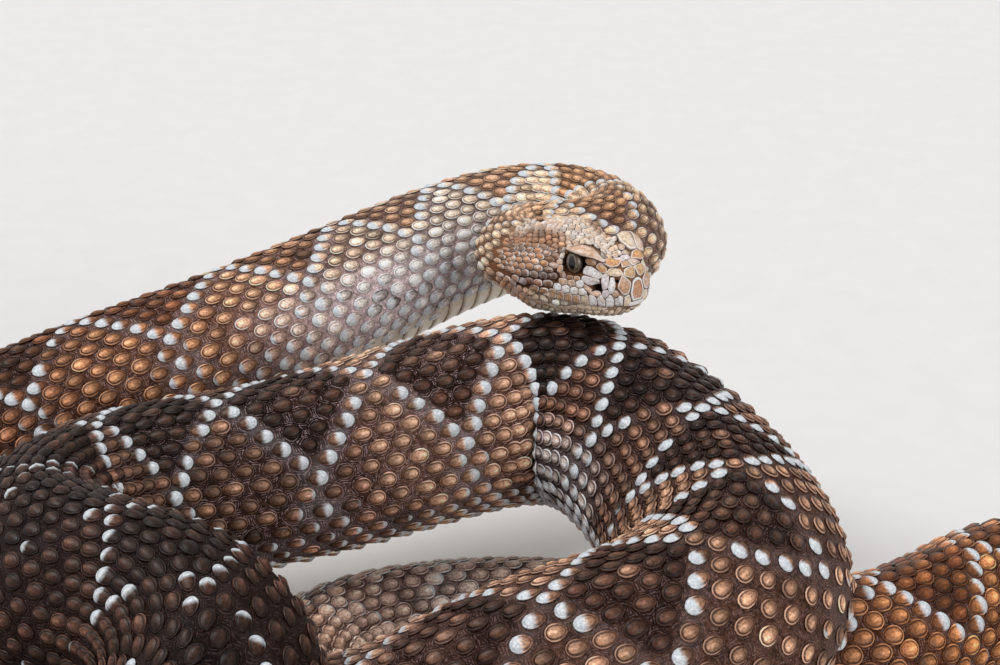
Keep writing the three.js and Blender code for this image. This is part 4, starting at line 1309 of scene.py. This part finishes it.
# Rattle.  A string of hollow horn segments at the end of the tail, one left by each moult; each is lobed,
# flattened and grooved along its sides, and clasps the next one loosely.
RATTLE_SEGMENTS, RATTLE_PITCH, RATTLE_START = 9, 5.4, 0.3
RATTLE_HALF_HEIGHT, RATTLE_HALF_WIDTH, RATTLE_TAPER, RATTLE_GROOVE = 8.6, 5.6, 0.96, 0.2
# one segment: place along it, and its swelling
RATTLE_LOBE = np.array([[0.0, 0.58], [0.05, 0.66], [0.11, 0.86], [0.19, 0.96], [0.28, 1.0],
                        [0.38, 0.985], [0.46, 0.93],
                        [0.56, 0.935], [0.68, 0.95], [0.80, 0.93], [0.89, 0.84], [0.96, 0.68]])
RATTLE_SIDES = 44
# what closes the string: the neck that the tail holds, and the rounded end
RATTLE_NECK, RATTLE_END = (-0.5, 0.56), ((0.99, 0.4), (1.0, 0.15))


def rattle_material():
    material, tree = new_material("rattle_horn")
    along, age = attribute(tree, "along"), attribute(tree, "age")
    fleck, grime = noise(tree, 500, 4), noise(tree, 160, 3)
    horn = fleck.ramp(0.3, 0.7).blend((0.37, 0.24, 0.13, 1), (0.65, 0.48, 0.28, 1))
    horn = (age * 0.5).blend(horn, horn.tint((0.75, 0.66, 0.55)))
    joint = along.ramp(0.16, 0.04) + along.ramp(0.86, 0.97)
    joint = joint + along.ramp(0.42, 0.47) * along.ramp(0.54, 0.49) * 0.6
    horn = (joint * 0.8).blend(horn, (0.085, 0.050, 0.028, 1))
    horn = (grime.ramp(0.5, 0.7) * 0.45).blend(horn, (0.17, 0.11, 0.064, 1))
    finish_material(tree, fleck + (along * 60).sine() * 0.15, 0.00012, 0.6, Base_Color=horn,
                    Roughness=fleck.ramp(0.2, 0.8, 0.34, 0.5))
    return material


def build_rattle():
    place, radius, ahead, up, side, _ = (part[0] for part in body_frame(np.array([BODY_LENGTH])))
    turn = np.arange(RATTLE_SIDES) * 2 * math.pi / RATTLE_SIDES
    waist = 1 - RATTLE_GROOVE * np.exp(-(np.cos(turn) / 0.45) ** 2)
    rings, values = [], []
    steps = [(k, along, swell) for k in range(RATTLE_SEGMENTS) for along, swell in RATTLE_LOBE]
    steps = [(0, *RATTLE_NECK), *steps, *((RATTLE_SEGMENTS - 1, *end) for end in RATTLE_END)]
    for k, along, swell in steps:
        size = RATTLE_TAPER ** k * swell
        ring = place + ahead * (RATTLE_START + (k + along) * RATTLE_PITCH)
        ring = ring + side * (np.sin(turn) * RATTLE_HALF_WIDTH * size * waist)[:, None]
        ring = ring + up * (np.cos(turn) * RATTLE_HALF_HEIGHT * size)[:, None]
        ring[:, 2] = np.maximum(ring[:, 2] - (radius - RATTLE_HALF_HEIGHT) * 0.4, 0.05)
        rings.append(ring)
        values += [(np.clip(along, 0, 1), k / RATTLE_SEGMENTS)] * RATTLE_SIDES
    faces = grid_faces(len(rings), RATTLE_SIDES)
    faces.append(tuple(reversed(range(RATTLE_SIDES))))
    faces.append(tuple(range((len(rings) - 1) * RATTLE_SIDES, len(rings) * RATTLE_SIDES)))
    piece = mesh_piece("rattle_string", np.vstack(rings), faces, rattle_material())
    along, age = np.array(values).T
    keep_values(piece, along=along, age=age)
    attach(piece, "root")
    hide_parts("rattle")


build_rattle()


# Stage.  A plain pale floor, and two broad suns: the stronger one high on the left, the weaker one in
# front on the right.
FLOOR_REACH = 2500
# place, strength and width in degrees of each sun
SUNS = {"key": ((-0.55, 0.15, 1.15), 1.85, 27), "fill": ((0.8, -1.1, 0.7), 1.15, 33)}


def pale_stage():
    scene = bpy.context.scene
    scene.world = bpy.data.worlds.new("studio")
    scene.world.use_nodes = True
    tree = scene.world.node_tree
    path = tree.nodes.new("ShaderNodeLightPath")
    camera_ray, glossy_ray, clear_ray = (
        Term(tree, path.outputs[f"Is {kind} Ray"]) for kind in ("Camera", "Glossy", "Transmission"))
    seen = camera_ray.most(glossy_ray).most(clear_ray)
    colour = seen.blend((0.40, 0.40, 0.41, 1), (0.83, 0.822, 0.81, 1))
    tree.links.new(colour.out, tree.nodes["Background"].inputs["Color"])
    material, tree = new_material("floor")
    grain = noise(tree, 60, 4)
    paper = grain.ramp(0.3, 0.7).blend((0.765, 0.755, 0.74, 1), (0.785, 0.775, 0.76, 1))
    finish_material(tree, Base_Color=paper, Roughness=0.8)
    corners = [(x * FLOOR_REACH, y * FLOOR_REACH, 0) for x, y in ((-1, -1), (1, -1), (1, 1), (-1, 1))]
    mesh_piece("floor", corners, [(0, 1, 2, 3)], material)
    for name, (place, power, width) in SUNS.items():
        lamp = bpy.data.lights.new(name, "SUN")
        lamp.energy, lamp.angle = power, math.radians(width)
        holder = bpy.data.objects.new(name, lamp)
        holder.location = place
        aim = AIM - np.array(place)
        flat = math.hypot(aim[0], aim[1])
        holder.rotation_euler = (math.atan2(flat, -aim[2]), 0, math.atan2(-aim[0], aim[1]))
        bpy.context.collection.objects.link(holder)


pale_stage()
